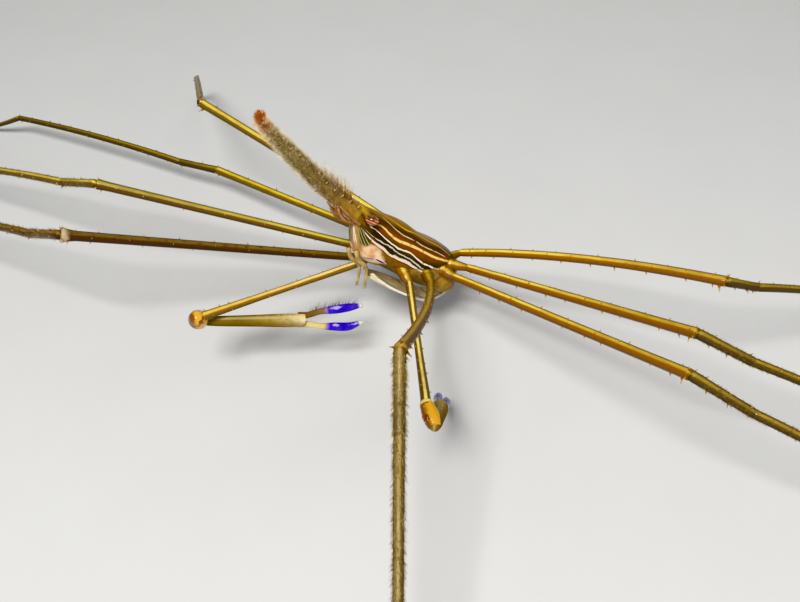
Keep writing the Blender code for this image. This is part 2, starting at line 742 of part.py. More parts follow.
carapace()
thorax()
rostrum()
abdomen()
for hand in ("left", "right"):
    eye(hand)
    feeler(hand, "antenna", ANTENNA_LINE, ANTENNA_RADII)
    feeler(hand, "antennule", ANTENNULE_LINE, ANTENNULE_RADII)
    feeler(hand, "maxilliped", MAXILLIPED_LINE, MAXILLIPED_RADII)
    claw(hand)
    for number in LEG_LENGTHS:
        leg(hand, number)
centre_on_floor()
paint()
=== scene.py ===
# %% [markdown]
# # An arrow crab, dressed over its solids
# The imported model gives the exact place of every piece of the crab. This lesson makes the pieces
# again, smoother and finer, over those solids, then paints and lights them. Loading the frame
# comes first, because each new piece is measured against it.

# %% Load the frame
from functools import cache
from math import asin, atan2, cos, hypot, pi, radians, sin
from random import Random
import bmesh
import bpy
import numpy as np
from mathutils import Matrix, Vector


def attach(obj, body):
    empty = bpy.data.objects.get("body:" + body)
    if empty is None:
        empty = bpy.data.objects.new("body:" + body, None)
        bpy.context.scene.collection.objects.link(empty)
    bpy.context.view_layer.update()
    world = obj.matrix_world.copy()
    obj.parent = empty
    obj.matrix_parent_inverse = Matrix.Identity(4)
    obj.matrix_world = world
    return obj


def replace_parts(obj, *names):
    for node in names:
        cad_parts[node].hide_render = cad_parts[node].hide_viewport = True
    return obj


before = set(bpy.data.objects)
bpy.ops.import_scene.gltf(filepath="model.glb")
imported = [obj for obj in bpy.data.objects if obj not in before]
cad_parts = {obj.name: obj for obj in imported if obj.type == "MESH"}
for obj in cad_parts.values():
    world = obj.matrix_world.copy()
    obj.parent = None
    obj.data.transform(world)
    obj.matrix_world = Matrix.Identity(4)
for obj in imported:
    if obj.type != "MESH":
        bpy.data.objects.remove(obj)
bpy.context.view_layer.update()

# %% [markdown]
# ## The body's own measure
# A crab is easiest to describe lying straight: x forward from the rear edge of its back shell, y
# to its left, z up from the ridge, in millimetres. It could be modelled so and turned as an
# object, but a finished piece keeps its place in its mesh, so one small function carries every
# point to where the posed body has it.

# %% Body frame
MM = 0.001
SIDES = ("left", "right")
BODY_CENTRE, BODY_LIFT = Vector((8.0, 0.0, -4.0)), Vector((0, 0, 15.5))
STAND = (Matrix.Rotation(radians(206.5), 3, "Z") @ Matrix.Rotation(radians(-44.5), 3, "Y")
         @ Matrix.Rotation(radians(23), 3, "X"))


def stand(point, side="left"):
    """Carry a point of the straight body to its place; the right side's is mirrored."""
    x, y, z = point
    return STAND @ (Vector((x, y if side == "left" else -y, z)) - BODY_CENTRE) + BODY_LIFT


def compass(azimuth, rise):
    a, r = radians(azimuth), radians(rise)
    return Vector((cos(a) * cos(r), sin(a) * cos(r), sin(r)))


def side_axes(direction):
    level = direction.cross(Vector((0, 0, 1))).normalized()
    return level, level.cross(direction).normalized()


# %% [markdown]
# ## Limbs as lines
# Each leg is four straight or gently bowed lengths: a long merus up to the knee, a short carpus,
# a long propodus and a pointed toe on the floor. Their lengths and compass directions are the
# solids' own, so the shells land where the solids are.

# %% Leg and claw lines
SOCKETS = {
    "claw": ((11.6, 4.6, -6.9), (11.2, 5.75, -7.8), 1.0),
    "leg_1": ((8.9, 6.2, -5.8), (9.3, 7.7, -6.6), 1.0),
    "leg_2": ((6.0, 6.1, -4.0), (5.2, 7.5, -4.2), 0.95),
    "leg_3": ((4.3, 5.6, -2.5), (3.1, 7.2, -2.1), 0.9),
    "leg_4": ((3.2, 3.9, -0.95), (3.8, 5.5, -0.4), 0.72),
}
LEG_LENGTHS = {"leg_1": (44.0, 8.5, 40.5, 13.5), "leg_2": (43.5, 8.5, 39.3, 13.0),
               "leg_3": (40.0, 8.0, 35.9, 12.0), "leg_4": (38.5, 6.0, 35.0, 11.5)}
LEG_POSES = {
    "right_leg_1": (-158.7, 21.6, 142, (0, 0)),
    "right_leg_2": (-179.5, 17.5, 145, (0, 0)),
    "right_leg_3": (142, -5, 154, (0, 0)),
    "right_leg_4": (153.2, 20, 102, (0, 0.01)),
    "left_leg_1": (-96.6, 32.3, -90.5, (-0.022, 0)),
    "left_leg_2": (-53.1, 18.7, -18, (0, 0)),
    "left_leg_3": (-48.2, 20, -7, (0, 0)),
    "left_leg_4": (-29.3, 15.4, 23, (0, 0.03)),
}
BENDS = (radians(2), radians(5), radians(-20))
SHIN_BOW, TOE_BOW, NO_BOW = (0.0, 0.018), (0.0, -0.018), (0.0, 0.0)
FOOT_HEIGHT = 0.6
CLAW_LENGTHS = (26.7, 3.2, 14.6, 8.2)
CLAW_POSES = {
    "right": ((-142, 9), (95, -50), (13, -11), (0.0, 0.67, 0.74)),
    "left": ((-86, 8.6), (-72, -15), (84, -38), (-1.0, 0.2, 0.6)),
}


def bowed(start, end, count, bow):
    span = end - start
    level, up = side_axes(span.normalized())
    swing = (level * bow[0] + up * bow[1]) * span.length * 4
    return [start + span * (i / count) + swing * (i / count) * (1 - i / count)
            for i in range(count + 1)]


def shin_chain(knee, azimuth, lengths):
    run = sum(length * cos(bend) for length, bend in zip(lengths, BENDS))
    rise = sum(length * sin(bend) for length, bend in zip(lengths, BENDS))
    slope = -asin((knee.z - FOOT_HEIGHT) / hypot(run, rise)) - atan2(rise, run)
    spots = [knee]
    for length, bend in zip(lengths, BENDS):
        spots.append(spots[-1] + compass(azimuth, (slope + bend) * 180 / pi) * length)
    return spots


def leg_joints(leg):
    """Hip, knee, wrist, ankle and sole of a leg, in millimetres."""
    side, pair = leg.split("_", 1)
    merus, *rest = LEG_LENGTHS[pair]
    azimuth, rise, foot_azimuth, _ = LEG_POSES[leg]
    start = stand(SOCKETS[pair][1], side)
    return [start] + shin_chain(start + compass(azimuth, rise) * merus, foot_azimuth, rest)


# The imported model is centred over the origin; one toe tells by how much that moved it
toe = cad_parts["right_leg_1_toe"].data
low = [v.co for v in toe.vertices if v.co.z < 1e-5]
sole = leg_joints("right_leg_1")[-1] * MM
SHIFT = Vector([sum(spot[k] for spot in low) / len(low) - sole[k] for k in (0, 1)] + [0])
print("moved by", [round(v * 1000, 3) for v in SHIFT], "mm")

# %% [markdown]
# ## Painting by sums
# A pattern on a shell, such as a stripe, is a sum done at every point. Nodes can do it, but a
# long chain of them is hard to read. A small class that wraps a socket lets the sum be written
# as ordinary Python, and each operator adds its own Math node.

# %% Shader arithmetic
class Wire:
    """One output socket of a material that can stand in a sum."""

    def __init__(self, paint, socket):
        self.paint, self.socket = paint, socket

    def maths(self, operation, *others):
        return self.paint.node("Math", {"operation": operation}, dict(enumerate((self,) + others)))

    def __add__(self, other):
        return self.maths("ADD", other)

    def __sub__(self, other):
        return self.maths("SUBTRACT", other)

    def __rsub__(self, other):
        return self.paint.node("Math", {"operation": "SUBTRACT"}, {0: other, 1: self})

    def __mul__(self, other):
        return self.maths("MULTIPLY", other)

    def __abs__(self):
        return self.maths("ABSOLUTE")

    __radd__, __rmul__ = __add__, __mul__


def screen(colour):
    """Turn a screen colour, written 0xRRGGBB, into the linear light that a shader takes."""
    parts = [part / 255 for part in colour.to_bytes(3, "big")]
    return tuple(c / 12.92 if c < 0.04 else ((c + 0.055) / 1.055) ** 2.4 for c in parts) + (1.0,)


def set_stops(ramp, stops):
    while len(ramp.elements) < len(stops):
        ramp.elements.new(0.5)
    for element, (place, tint) in zip(ramp.elements, stops.items()):
        element.position, element.color = place, screen(tint)


def set_curve(mapping, spots):
    points = mapping.curves[0].points
    while len(points) < len(spots):
        points.new(0.5, 0.5)
    for point, spot in zip(points, spots):
        point.location = spot
    mapping.update()


class Paint:
    """A material in the making: its shader, and the one method that adds a node."""

    def __init__(self, name, rough=0.4, specular=0.5, coat=0.0, coat_rough=0.03):
        self.material = bpy.data.materials.new(name)
        self.material.use_nodes = True
        self.tree = self.material.node_tree
        self.shader = self.tree.nodes["Principled BSDF"]
        for label, value in (("Roughness", rough), ("Specular IOR Level", specular),
                             ("Coat Weight", coat), ("Coat Roughness", coat_rough)):
            self.shader.inputs[label].default_value = value

    def node(self, kind, settings=None, inputs=None, output=0):
        """Add a node of a kind, set it up, then give each socket its number or wire."""
        made = self.tree.nodes.new("ShaderNode" + kind)
        for key, value in (settings or {}).items():
            if key == "stops":
                set_stops(made.color_ramp, value)
            elif key == "curve":
                set_curve(made.mapping, value)
            else:
                setattr(made, key, value)
        for key, value in (inputs or {}).items():
            if isinstance(value, Wire):
                self.tree.links.new(value.socket, made.inputs[key])
            else:
                made.inputs[key].default_value = value
        if isinstance(output, tuple):
            return [Wire(self, made.outputs[i]) for i in output]
        return Wire(self, made.outputs[output])

    def noted(self, name):
        """Read a piece's own noted numbers as three values."""
        read = self.node("Attribute", {"attribute_name": name}, output=1)
        return self.node("SeparateXYZ", None, {0: read}, output=(0, 1, 2))

    def noise(self, scale, detail=3.0, where=None):
        where = where or self.node("TexCoord", output=3)
        return self.node("TexNoise", {"noise_dimensions": "3D"}, {0: where, 2: scale, 3: detail, 4: 0.6})

    def tipped(self, base, tint, low=0.25):
        """Tint the tips of the thorns."""
        return blend(fade(self.noted("extra")[0], low, 0.8), base, tint)

    def finish(self, colour, rough=None, height=None, strength=0.4, depth=0.0002):
        """Feed the shader its colour, roughness and relief, and hand over the material."""
        relief = height and self.node("Bump", None, {0: strength, 1: depth, 3: height})
        for label, wire in (("Base Color", colour), ("Roughness", rough), ("Normal", relief)):
            if wire:
                self.tree.links.new(wire.socket, self.shader.inputs[label])
        return self.material


def fade(wire, low, high):
    """Run from 0 at low to 1 at high with soft ends."""
    return wire.paint.node("MapRange", {"interpolation_type": "SMOOTHSTEP"}, {0: wire, 1: low, 2: high})


def band(wire, inner, outer):
    """Mark what lies near nought, fading out between two distances from it."""
    return 1 - fade(abs(wire), inner, outer)


def blend(share, first, second):
    """Mix two colours, each a wire or a screen colour."""
    first, second = [c if isinstance(c, Wire) else screen(c) for c in (first, second)]
    return share.paint.node("Mix", {"data_type": "RGBA"}, {0: share, 6: first, 7: second}, output=2)


def ramp(place, stops):
    return place.paint.node("ValToRGB", {"stops": stops}, {0: place})


def vector(x, y, z):
    return x.paint.node("CombineXYZ", None, {0: x, 1: y, 2: z})

# %% [markdown]
# ## Tubes from a ring
# Legs, feelers and claws are all tapering tubes. A bevelled curve would make one quickly, but its
# ends stay blunt and it tells the paint nothing. Here a ring is extruded from place to place, and
# every point notes how far along it lies, how far it faces the bright side and how far down.

# %% Ring by ring
def way_at(points, i):
    return (points[min(i + 1, len(points) - 1)] - points[max(i - 1, 0)]).normalized()


def ring_places(points, radii, flat):
    """Place a ring at each point, its sideways axis carried on from the ring before."""
    places, level = [], None
    for i, (point, radius) in enumerate(zip(points, radii)):
        way = way_at(points, i)
        level = side_axes(way)[0] if level is None else (level - way * level.dot(way)).normalized()
        turn = Matrix((level, level.cross(way), -way)).transposed().to_4x4()
        places.append(Matrix.Translation(point) @ turn @ Matrix.Diagonal((radius, radius * flat, radius, 1)))
    return places


BRIGHT_SIDE = Vector((0.0, -0.42, 0.907))


def tube(points, radii, sides=20, flat=1.0):
    """Extrude a ring along points, round off both ends and note each point's place."""
    bm = bmesh.new()
    for name in ("limb", "extra"):
        bm.verts.layers.float_vector.new(name)
    limb = bm.verts.layers.float_vector["limb"]
    points = [Vector(point) for point in points]
    steps = [0.0]
    for a, b in zip(points, points[1:]):
        steps.append(steps[-1] + (b - a).length)
    places = ring_places(points, radii, flat)
    verts = bmesh.ops.create_circle(bm, segments=sides, radius=1.0, matrix=places[0])["verts"]
    first_rim = edges = bm.edges[:]
    for i, place in enumerate(places):
        if i:
            grown = bmesh.ops.extrude_edge_only(bm, edges=edges)["geom"]
            verts = [item for item in grown if isinstance(item, bmesh.types.BMVert)]
            fresh = set(verts)
            edges = [item for item in grown if isinstance(item, bmesh.types.BMEdge)
                     and fresh.issuperset(item.verts)]
            bmesh.ops.transform(bm, matrix=place @ places[i - 1].inverted(), verts=verts)
        low_side = way_at(points, i).cross(BRIGHT_SIDE).normalized()
        low_side *= -1 if low_side.z > 0 else 1
        for vert in verts:
            out = (vert.co - points[i]).normalized()
            vert[limb] = (steps[i] / steps[-1], out.dot(BRIGHT_SIDE), out.dot(low_side))
    for rim in (first_rim, edges):
        bmesh.ops.holes_fill(bm, edges=rim, sides=0)
    return bm


def thorn(bm, root, tip, radius, sides=6):
    """Add one thorn, marked 1 at its tip for the paint."""
    limb, extra = bm.verts.layers.float_vector["limb"], bm.verts.layers.float_vector["extra"]
    axis = tip - root
    place = Matrix.Translation((root + tip) / 2) @ axis.to_track_quat("Z", "Y").to_matrix().to_4x4()
    made = bmesh.ops.create_cone(bm, cap_ends=True, segments=sides, radius1=radius,
                                 radius2=radius * 0.16, depth=axis.length, matrix=place)["verts"]
    for vert in made:
        vert[extra] = (max(0.0, (vert.co - root).dot(axis) / axis.length_squared), 0, 0)
        vert[limb] = (0.5, 0.2, 0.6)


def linked(name, data):
    item = bpy.data.objects.new(name, data)
    bpy.context.scene.collection.objects.link(item)
    return item


def ride_along(name, mesh, slot, material):
    """Make a finished mesh a piece of the crab's one body."""
    mesh.materials.append(material)
    piece = linked(name, mesh)
    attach(piece, "root")
    return piece


def keep(name, bm, slot, material, node=None):
    """Turn a finished bmesh, in millimetres, into a shell that stands for a CAD node."""
    bmesh.ops.recalc_face_normals(bm, faces=bm.faces)
    bmesh.ops.scale(bm, vec=(MM, MM, MM), verts=bm.verts)
    bmesh.ops.translate(bm, vec=SHIFT, verts=bm.verts)
    for face in bm.faces:
        face.smooth = True
    mesh = bpy.data.meshes.new(name + "_shell")
    bm.to_mesh(mesh)
    bm.free()
    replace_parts(ride_along(name + "_shell", mesh, slot, material), node or name)
    return mesh


def between(values, i, t):
    """Read a smooth curve through a table, a share t past its value i."""
    p, q, r, w = [values[min(max(k, 0), len(values) - 1)] for k in (i - 1, i, i + 1, i + 2)]
    return 0.5 * (2 * q + (r - p) * t + (2 * p - 5 * q + 4 * r - w) * t * t
                  + (3 * q - p - 3 * r + w) * t ** 3)


def curve_through(values, share):
    """Read a table of evenly spaced values at a share of its length."""
    place = share * (len(values) - 1)
    i = min(int(place), len(values) - 2)
    return between(values, i, place - i)


def smoothly(values, count):
    return [curve_through(values, i / count) for i in range(count + 1)]


def resampled(rows, steps):
    """Read more rows from a smooth curve through a table's rows."""
    count = (len(rows) - 1) * steps
    return list(zip(*[smoothly(column, count) for column in zip(*rows)]))


# %% [markdown]
# ## The glossy shell of the legs
# A live leg is a thin glassy tube with small pale thorns, olive-gold above and redder below. Its
# bright gold line along the side that faces the light is a painted highlight in a painted warm
# glow, and the dark red-brown of its edges and of the side turned from the light is painted shade.
# A picture could be wrapped on it, but the noted places let the paint work the same out: the line
# from how far round a point lies, mottling from noise along the leg.

# %% Leg paints
def leg_paint(name, line, far_highlight_line, upper, lower, edge, highlight_glow=0xb27c14, tip=0xb28c42, knee=None,
              spots=0.0, rough=0.2, gloss=1.0):
    """A glassy tube: a painted highlight line, olive-gold above it, redder below, painted shade at the
    edges.
    """
    paint = Paint(name + "_shell", coat=0.12 * gloss, coat_rough=0.1, specular=0.3 * gloss)
    along, lit, down = paint.noted("limb")
    wobble = paint.noise(260) - 0.5
    slide = down + wobble * 0.3
    streak = paint.noise(1.0, 3, vector(along * 60, lit * 2.5, down * 2.5))
    base = blend(fade(slide, -0.15, 0.45), upper, lower)
    # Darker towards the far end and in streaks; the dark at the edges and on the side turned from the light
    # is painted shade.
    for share in (fade(along, 0.35, 1.0) * 0.45, fade(abs(down), 0.7, 0.98) * 0.8,
                  1 - fade(lit, -0.5, 0.1), fade(streak, 0.48, 0.7) * 0.5):
        base = blend(share, base, edge)
    # Painted highlight: a warm glow and a bright line along the side that faces the light, fading along the
    # leg.
    facing_light = fade(lit, 0.0, 0.35)
    base = blend(band(slide, 0.25, 0.62) * facing_light * (0.6 - along * 0.35), base, highlight_glow)
    uneven = fade(paint.noise(1.0, 2, vector(along * 9, 0.5, 0.5)), 0.3, 0.62) * 0.45 + 0.55
    base = blend(band(slide, 0.14, 0.42) * facing_light * uneven, base, blend(along, line, far_highlight_line))
    if spots:
        base = blend(fade(paint.noise(1500, 2), 0.58, 0.66) * spots, base, 0x4e1408)
    if knee:
        base = blend(fade(along + wobble * 0.05, 0.978, 0.998) * 0.7, base, knee)
    return paint.finish(paint.tipped(base, tip), paint.noise(2200, 2) * 0.22 + rough,
                        paint.noise(900, 4) * 0.6 + paint.noise(3800) * 0.4)


# In each leg paint the first two colours are the painted highlight line, near the body and far out; the
# fifth gives the painted shade at the edges as well as the darker far end and streaks.
golden = leg_paint("golden", 0xfce468, 0xb09232, 0x886614, 0x8a540e, 0x643e0e)
olive_gold = leg_paint("olive_gold", 0xfae25c, 0xdcc044, 0x927824, 0x7c5e14, 0x543e0e, highlight_glow=0xba9624)
dull_gold = leg_paint("dull_gold", 0xd0be54, 0xa69640, 0x7e6822, 0x684812, 0x442e0a,
    highlight_glow=0x8c7022, tip=0xd7be96)
front_gold = leg_paint("front_gold", 0xc49e38, 0xa88630, 0x8a681a, 0x704a10, 0x4c320a,
    highlight_glow=0xa27822, tip=0x967642, knee=0x96783e, gloss=0.2)
amber = leg_paint("amber", 0x7a601c, 0x6c541a, 0x5a400d, 0x482a09, 0x321d06,
    highlight_glow=0x6e5014, tip=0xc8a587, knee=0xccb28e, spots=0.8)
olive = leg_paint("olive", 0x98822e, 0x705c24, 0x614e17, 0x4e360b, 0x342408, highlight_glow=0x745c1c)
brown = leg_paint("brown", 0x987f2f, 0x7a662e, 0x624b18, 0x503a12, 0x38280c, highlight_glow=0x745c22, rough=0.45)
front_brown = leg_paint("front_brown", 0x9e884c, 0x827558, 0x7a6842, 0x604e2e, 0x42341e,
    highlight_glow=0x867042, rough=0.45, gloss=0.4)
pale_arm = leg_paint("pale_arm", 0xfceaaa, 0xeec43a, 0xa68228, 0x8e641a, 0x604315, highlight_glow=0xce9e28)
gold_arm = leg_paint("gold_arm", 0xfae682, 0xf6e07e, 0x7a5a11, 0x68480b, 0x482f08)
print("materials so far:", len(bpy.data.materials))

# %% [markdown]
# ## Leg pieces
# A segment of a leg is a cup at its far end that holds the ball of the next one. Each tube starts
# with a narrow neck and ends in a slight flare, and rows of thorns of unlike size lean towards
# its far end.

# %% Segments
MERUS_RADII = (0.58, 0.6, 0.61, 0.62, 0.63, 0.65, 0.67, 0.7)
CARPUS_RADII = (0.68, 0.62, 0.6, 0.6)
PROPODUS_RADII = (0.58, 0.55, 0.53, 0.5, 0.48)
DACTYLUS_RADII = (0.48, 0.44, 0.4, 0.35, 0.29)
SHORT_BALL = ((-0.2, 0.6), (0.0, 0.9), (0.3, 0.98))
ROUND_BALL = ((-0.9, 0.2), (-0.8, 0.5), (-0.55, 0.78), (-0.2, 0.94), (0.3, 1.0))
NECK, CUP_END, FLARE = 0.9, 0.45, 1.6
DRAW = Random(23)


def scatter_thorns(bm, points, radii, rows):
    """Stand thorns in rows: angle, first and last share, count, length."""
    total = len(points) - 1
    for angle, first, last, count, length in rows:
        for i in range(count):
            share = first + (last - first) * (i + DRAW.uniform(-0.3, 0.3)) / max(count - 1, 1)
            index = min(max(int(share * total), 0), total - 1)
            way = (points[index + 1] - points[index]).normalized()
            level, up = side_axes(way)
            turn = radians(angle + DRAW.uniform(-16, 16))
            out = level * cos(turn) + up * sin(turn)
            size = length * DRAW.uniform(0.6, 1.15)
            root = points[index] + out * radii[index] * 0.7
            thorn(bm, root, points[index] + out * (radii[index] + size) + way * size * 0.45,
                  0.1 + size * 0.16)


def segment(start, end, bow, radii, rows, count=44, cup=0.03, near=SHORT_BALL):
    """Make a segment with a ball at its near end, a rounded cup at its far end and rows of thorns."""
    length = (end - start).length
    middle = bowed(start, end, count, bow)
    way, last_way = [(b - a).normalized() for a, b in (middle[:2], middle[-2:])]
    points, sizes = [start + way * away for away, _ in near], [radii[0] * part for _, part in near]
    for i, point in enumerate(middle):
        away, left = i / count * length, (1 - i / count) * length
        if away >= NECK and left >= CUP_END:
            points.append(point)
            sizes.append(curve_through(radii, i / count) * (1 + cup * max(0.0, 1 - left / FLARE)))
    for left, part in ((0.22, 1 + cup), (0.1, 0.95 + cup), (0.04, 0.66)):
        points.append(end - last_way * left)
        sizes.append(radii[-1] * part)
    bm = tube(points, sizes)
    scatter_thorns(bm, points, sizes, rows)
    return bm


MERUS_ROWS = ((70, 0.06, 0.93, 10, 0.36), (150, 0.08, 0.9, 8, 0.3), (-60, 0.08, 0.93, 9, 0.38),
              (-140, 0.1, 0.9, 6, 0.3))
KNEE_ROWS = ((10, 0.965, 0.965, 1, 0.5), (170, 0.965, 0.965, 1, 0.5), (90, 0.965, 0.965, 1, 0.5),
             (-35, 0.955, 0.955, 1, 0.75), (-145, 0.955, 0.955, 1, 0.7))
KNEE_CUPS = {"right_leg_1": 0.5, "right_leg_2": 0.14}
CARPUS_ROWS = ((90, 0.3, 0.88, 3, 0.42), (-40, 0.3, 0.86, 3, 0.45), (-140, 0.86, 0.86, 1, 0.55))
PROPODUS_ROWS = ((60, 0.05, 0.95, 12, 0.3), (-100, 0.08, 0.94, 10, 0.3), (160, 0.1, 0.9, 7, 0.24))
LEG_FINISH = {
    "right_leg_1": (amber, amber), "right_leg_2": (dull_gold, dull_gold),
    "right_leg_3": (olive_gold, olive), "right_leg_4": (olive_gold, olive),
    "left_leg_1": (front_gold, front_brown), "left_leg_2": (golden, brown),
    "left_leg_3": (golden, brown), "left_leg_4": (golden, olive),
}
for leg, (upper, lower) in LEG_FINISH.items():
    hip, knee, wrist, ankle, sole = leg_joints(leg)
    merus = segment(hip, knee, LEG_POSES[leg][3], MERUS_RADII, MERUS_ROWS + KNEE_ROWS,
                    cup=KNEE_CUPS.get(leg, 0.03))
    keep(leg + "_merus", merus, "golden_shell", upper)
    carpus = segment(knee, wrist, NO_BOW, CARPUS_RADII, CARPUS_ROWS, 18)
    keep(leg + "_carpus", carpus, "brown_shell", lower, leg + "_shin")
    propodus = segment(wrist, ankle, SHIN_BOW, PROPODUS_RADII, PROPODUS_ROWS)
    keep(leg + "_propodus", propodus, "brown_shell", lower, leg + "_shin")
    points = bowed(ankle, sole, 24, TOE_BOW) + [Vector((sole.x, sole.y, 0.0))]
    points[0] = points[0].lerp(points[1], 0.25)
    radii = [0.36] + smoothly(DACTYLUS_RADII, 24)[1:] + [DACTYLUS_RADII[-1]]
    keep(leg + "_toe", tube(points, radii, 16), "brown_shell", lower)
print("legs:", len(LEG_FINISH))

# %% [markdown]
# ## The striped back
# The back shell is one smooth cone with fine light lines from the beak to the rear edge. Its
# cross sections are all unlike, so a flat grid is wrapped round them, one way along the body and
# the other way round it. Every point keeps the grid's two numbers for the paint.

# %% Body sections
BODY_STATIONS = (
    (-0.6, -2.9, 1.2, -3.8, -4.9), (0.2, -1.6, 2.3, -3.3, -5.8), (1.4, -0.55, 3.2, -2.7, -6.5),
    (3.0, -0.12, 4.3, -2.7, -7.0), (5.0, 0.06, 5.5, -3.3, -7.2), (7.0, 0.05, 6.2, -4.1, -7.2),
    (9.0, -0.15, 6.2, -4.7, -7.2), (10.6, -0.1, 5.7, -5.0, -7.2), (12.2, 0.12, 5.0, -5.0, -7.2),
    (14.0, 0.1, 4.1, -4.8, -7.3), (15.6, -0.1, 3.4, -4.4, -7.3), (17.0, -0.3, 2.8, -3.9, -6.9),
    (18.4, -0.42, 2.3, -3.2, -5.6), (19.6, -0.48, 1.75, -2.3, -4.1), (20.6, -0.5, 1.25, -1.7, -2.9),
)
STATION_XS, *STATION_COLUMNS = zip(*BODY_STATIONS)
MARGIN = ((-2.0, 1.2), (1.0, 0.1), (3.2, -0.55), (4.7, -1.45), (6.1, -2.9), (8.8, -4.7),
          (11.8, -5.9), (13.6, -6.6), (14.6, -7.6), (15.0, -9.0))


def station_at(x):
    """Ridge, half width, widest level and belly at any station."""
    x = min(max(x, STATION_XS[0]), STATION_XS[-1])
    i = max(k for k, here in enumerate(STATION_XS[:-1]) if here <= x)
    t = (x - STATION_XS[i]) / (STATION_XS[i + 1] - STATION_XS[i])
    return [between(column, i, t) for column in STATION_COLUMNS]


def body_point(x, turn, inset=0.0):
    ridge, half, wide, belly = station_at(x)
    up = cos(turn)
    if up >= 0:
        level = wide + (ridge - inset - wide) * up ** 0.82
    else:
        level = wide + (belly + inset - wide) * (-up) ** 0.62
    return Vector((x, (half - inset) * sin(turn), level))


@cache
def margin_turn(x):
    """How far round from the ridge the back shell reaches at a station."""
    if x > 14.9:
        return pi
    level, turns = np.interp(x, *zip(*MARGIN)), np.linspace(0, pi, 400)
    above = sum(1 for turn in turns if body_point(x, turn).z > level)
    return float(turns[max(above, 1) - 1])


def wrap_body(first, last, reach, inset, stations, columns):
    """Wrap a grid round the body from station first to last, as far round as reach(x) says."""
    bm = bmesh.new()
    body = bm.verts.layers.float_vector.new("body")
    bmesh.ops.create_grid(bm, x_segments=stations, y_segments=columns, size=1.0)
    for vert in bm.verts:
        x = first + (last - first) * (round(vert.co.x, 5) + 1) / 2
        turn = vert.co.y * reach(x)
        vert[body] = (x, abs(turn), turn)
        vert.co = stand(body_point(x, turn, inset))
    bmesh.ops.remove_doubles(bm, verts=bm.verts, dist=0.004)
    return bm


# %% [markdown]
# ## Stripes
# Each light line runs nearly level and wavers a little, with a tint of its own from white to
# yellow. It is a curve that gives its place round the body at each station, and the paint marks
# what lies within its width. The dark bands come from one colour ramp from ridge to edge.

# %% Striped paint
STRIPES = (  # half width round the body, tint, then the line's turn at each station
    (0.04, 0xe2ccb8, {7.6: 2.02, 9.4: 1.75, 11.1: 1.65, 12.7: 1.62, 13.4: 1.64, 14.8: 1.68, 16.5: 1.68,
     18.2: 1.85, 19.2: 2.1}),
    (0.011, 0xbeb8a8, {8.6: 1.62, 9.7: 1.6, 11.9: 1.54, 13.7: 1.54, 16.1: 1.56, 18.0: 1.66, 19.2: 1.92}),
    (0.018, 0xe8dac0, {6.4: 1.57, 8.6: 1.54, 10.1: 1.5, 11.4: 1.46, 12.5: 1.42, 13.9: 1.45, 15.9: 1.47,
     17.3: 1.46, 18.8: 1.57}),
    (0.04, 0xf2d27c, {5.0: 1.34, 7.8: 1.27, 9.6: 1.22, 11.3: 1.2, 12.8: 1.23, 14.7: 1.28, 15.9: 1.25,
     16.9: 1.18, 18.1: 1.25}),
    (0.022, 0xceba92, {6.7: 1.17, 8.7: 1.05, 10.4: 1.03, 12.1: 1.02, 14.1: 1.03, 16.0: 0.87, 17.1: 0.66}),
    (0.03, 0xcea03e, {4.7: 1.1, 6.3: 0.93, 8.1: 0.75, 10.7: 0.67, 13.6: 0.77, 15.1: 0.63, 17.5: 0.35}),
    (0.02, 0xb0924e, {4.5: 0.7, 8.0: 0.5, 11.0: 0.42, 14.5: 0.4}),
    (0.02, 0xceb270, {3.6: 0.5, 6.0: 0.32, 9.0: 0.25, 13.0: 0.24, 17.5: 0.16}),
    (0.016, 0xc4a45c, {4.4: 0.2, 8.0: 0.1, 12.0: 0.11, 18.0: 0.07}),
    (0.06, 0xe8ded4, {18.5: 3.04, 19.9: 3.12}),
    (0.035, 0x96a070, {18.2: 2.55, 19.6: 2.7}),
    (0.035, 0x96a070, {17.9: 2.31, 19.6: 2.45}),
    (0.035, 0x96a070, {17.5: 2.05, 19.6: 2.24}),
)
REACH = 21.0


def add_stripes(base, x, turn):
    """Lay the light lines over a ground."""
    station, level = x * (1 / REACH), turn + (x.paint.noise(900, 2) - 0.5) * 0.05
    broken = fade(x.paint.noise(1600, 2), 0.25, 0.45)
    for half, tint, spots in STRIPES:
        first, *_, last = spots
        curve = [(a / REACH, b / pi) for a, b in spots.items()]
        place = x.paint.node("FloatCurve", {"curve": curve}, {1: station})
        mask = band(level - place * pi, half * 0.5, half * 1.35) * broken
        mask = mask * fade(x, first - 0.5, first + 0.3) * (1 - fade(x, last - 0.2, last + 0.4))
        base = blend(mask, base, tint)
    return base


def patch(x, turn, station, place, long, wide, slope=0.0):
    """Mark a ragged oval on the body, its long axis leaning round it by the slope."""
    off = x - station
    along, across = off * (1 / long), (turn - place - off * slope) * (1 / wide)
    ragged = (x.paint.noise(700) - 0.5) * 0.9
    return 1 - fade(along * along + across * across + ragged, 0.4, 1.0)


SLITS = ((16.25, 2.62, 0.4, 0.1, 0.8), (15.1, 2.27, 0.85, 0.075, 0.03))


def add_slits(base, x, turn):
    """Draw the mouth parts' clefts dark as painted shade, each edged pale violet, partly own colour and
    partly painted highlight.
    """
    for station, place, long, wide, slope in SLITS:
        # A pale violet edge, partly painted highlight, then the cleft's painted shade.
        edge = patch(x, turn, station, place, long * 1.25, wide * 2.1, slope)
        base = blend(edge * 0.8, base, 0xd6c2d8)
        base = blend(patch(x, turn, station, place, long, wide, slope), base, 0x361e12)
    return base


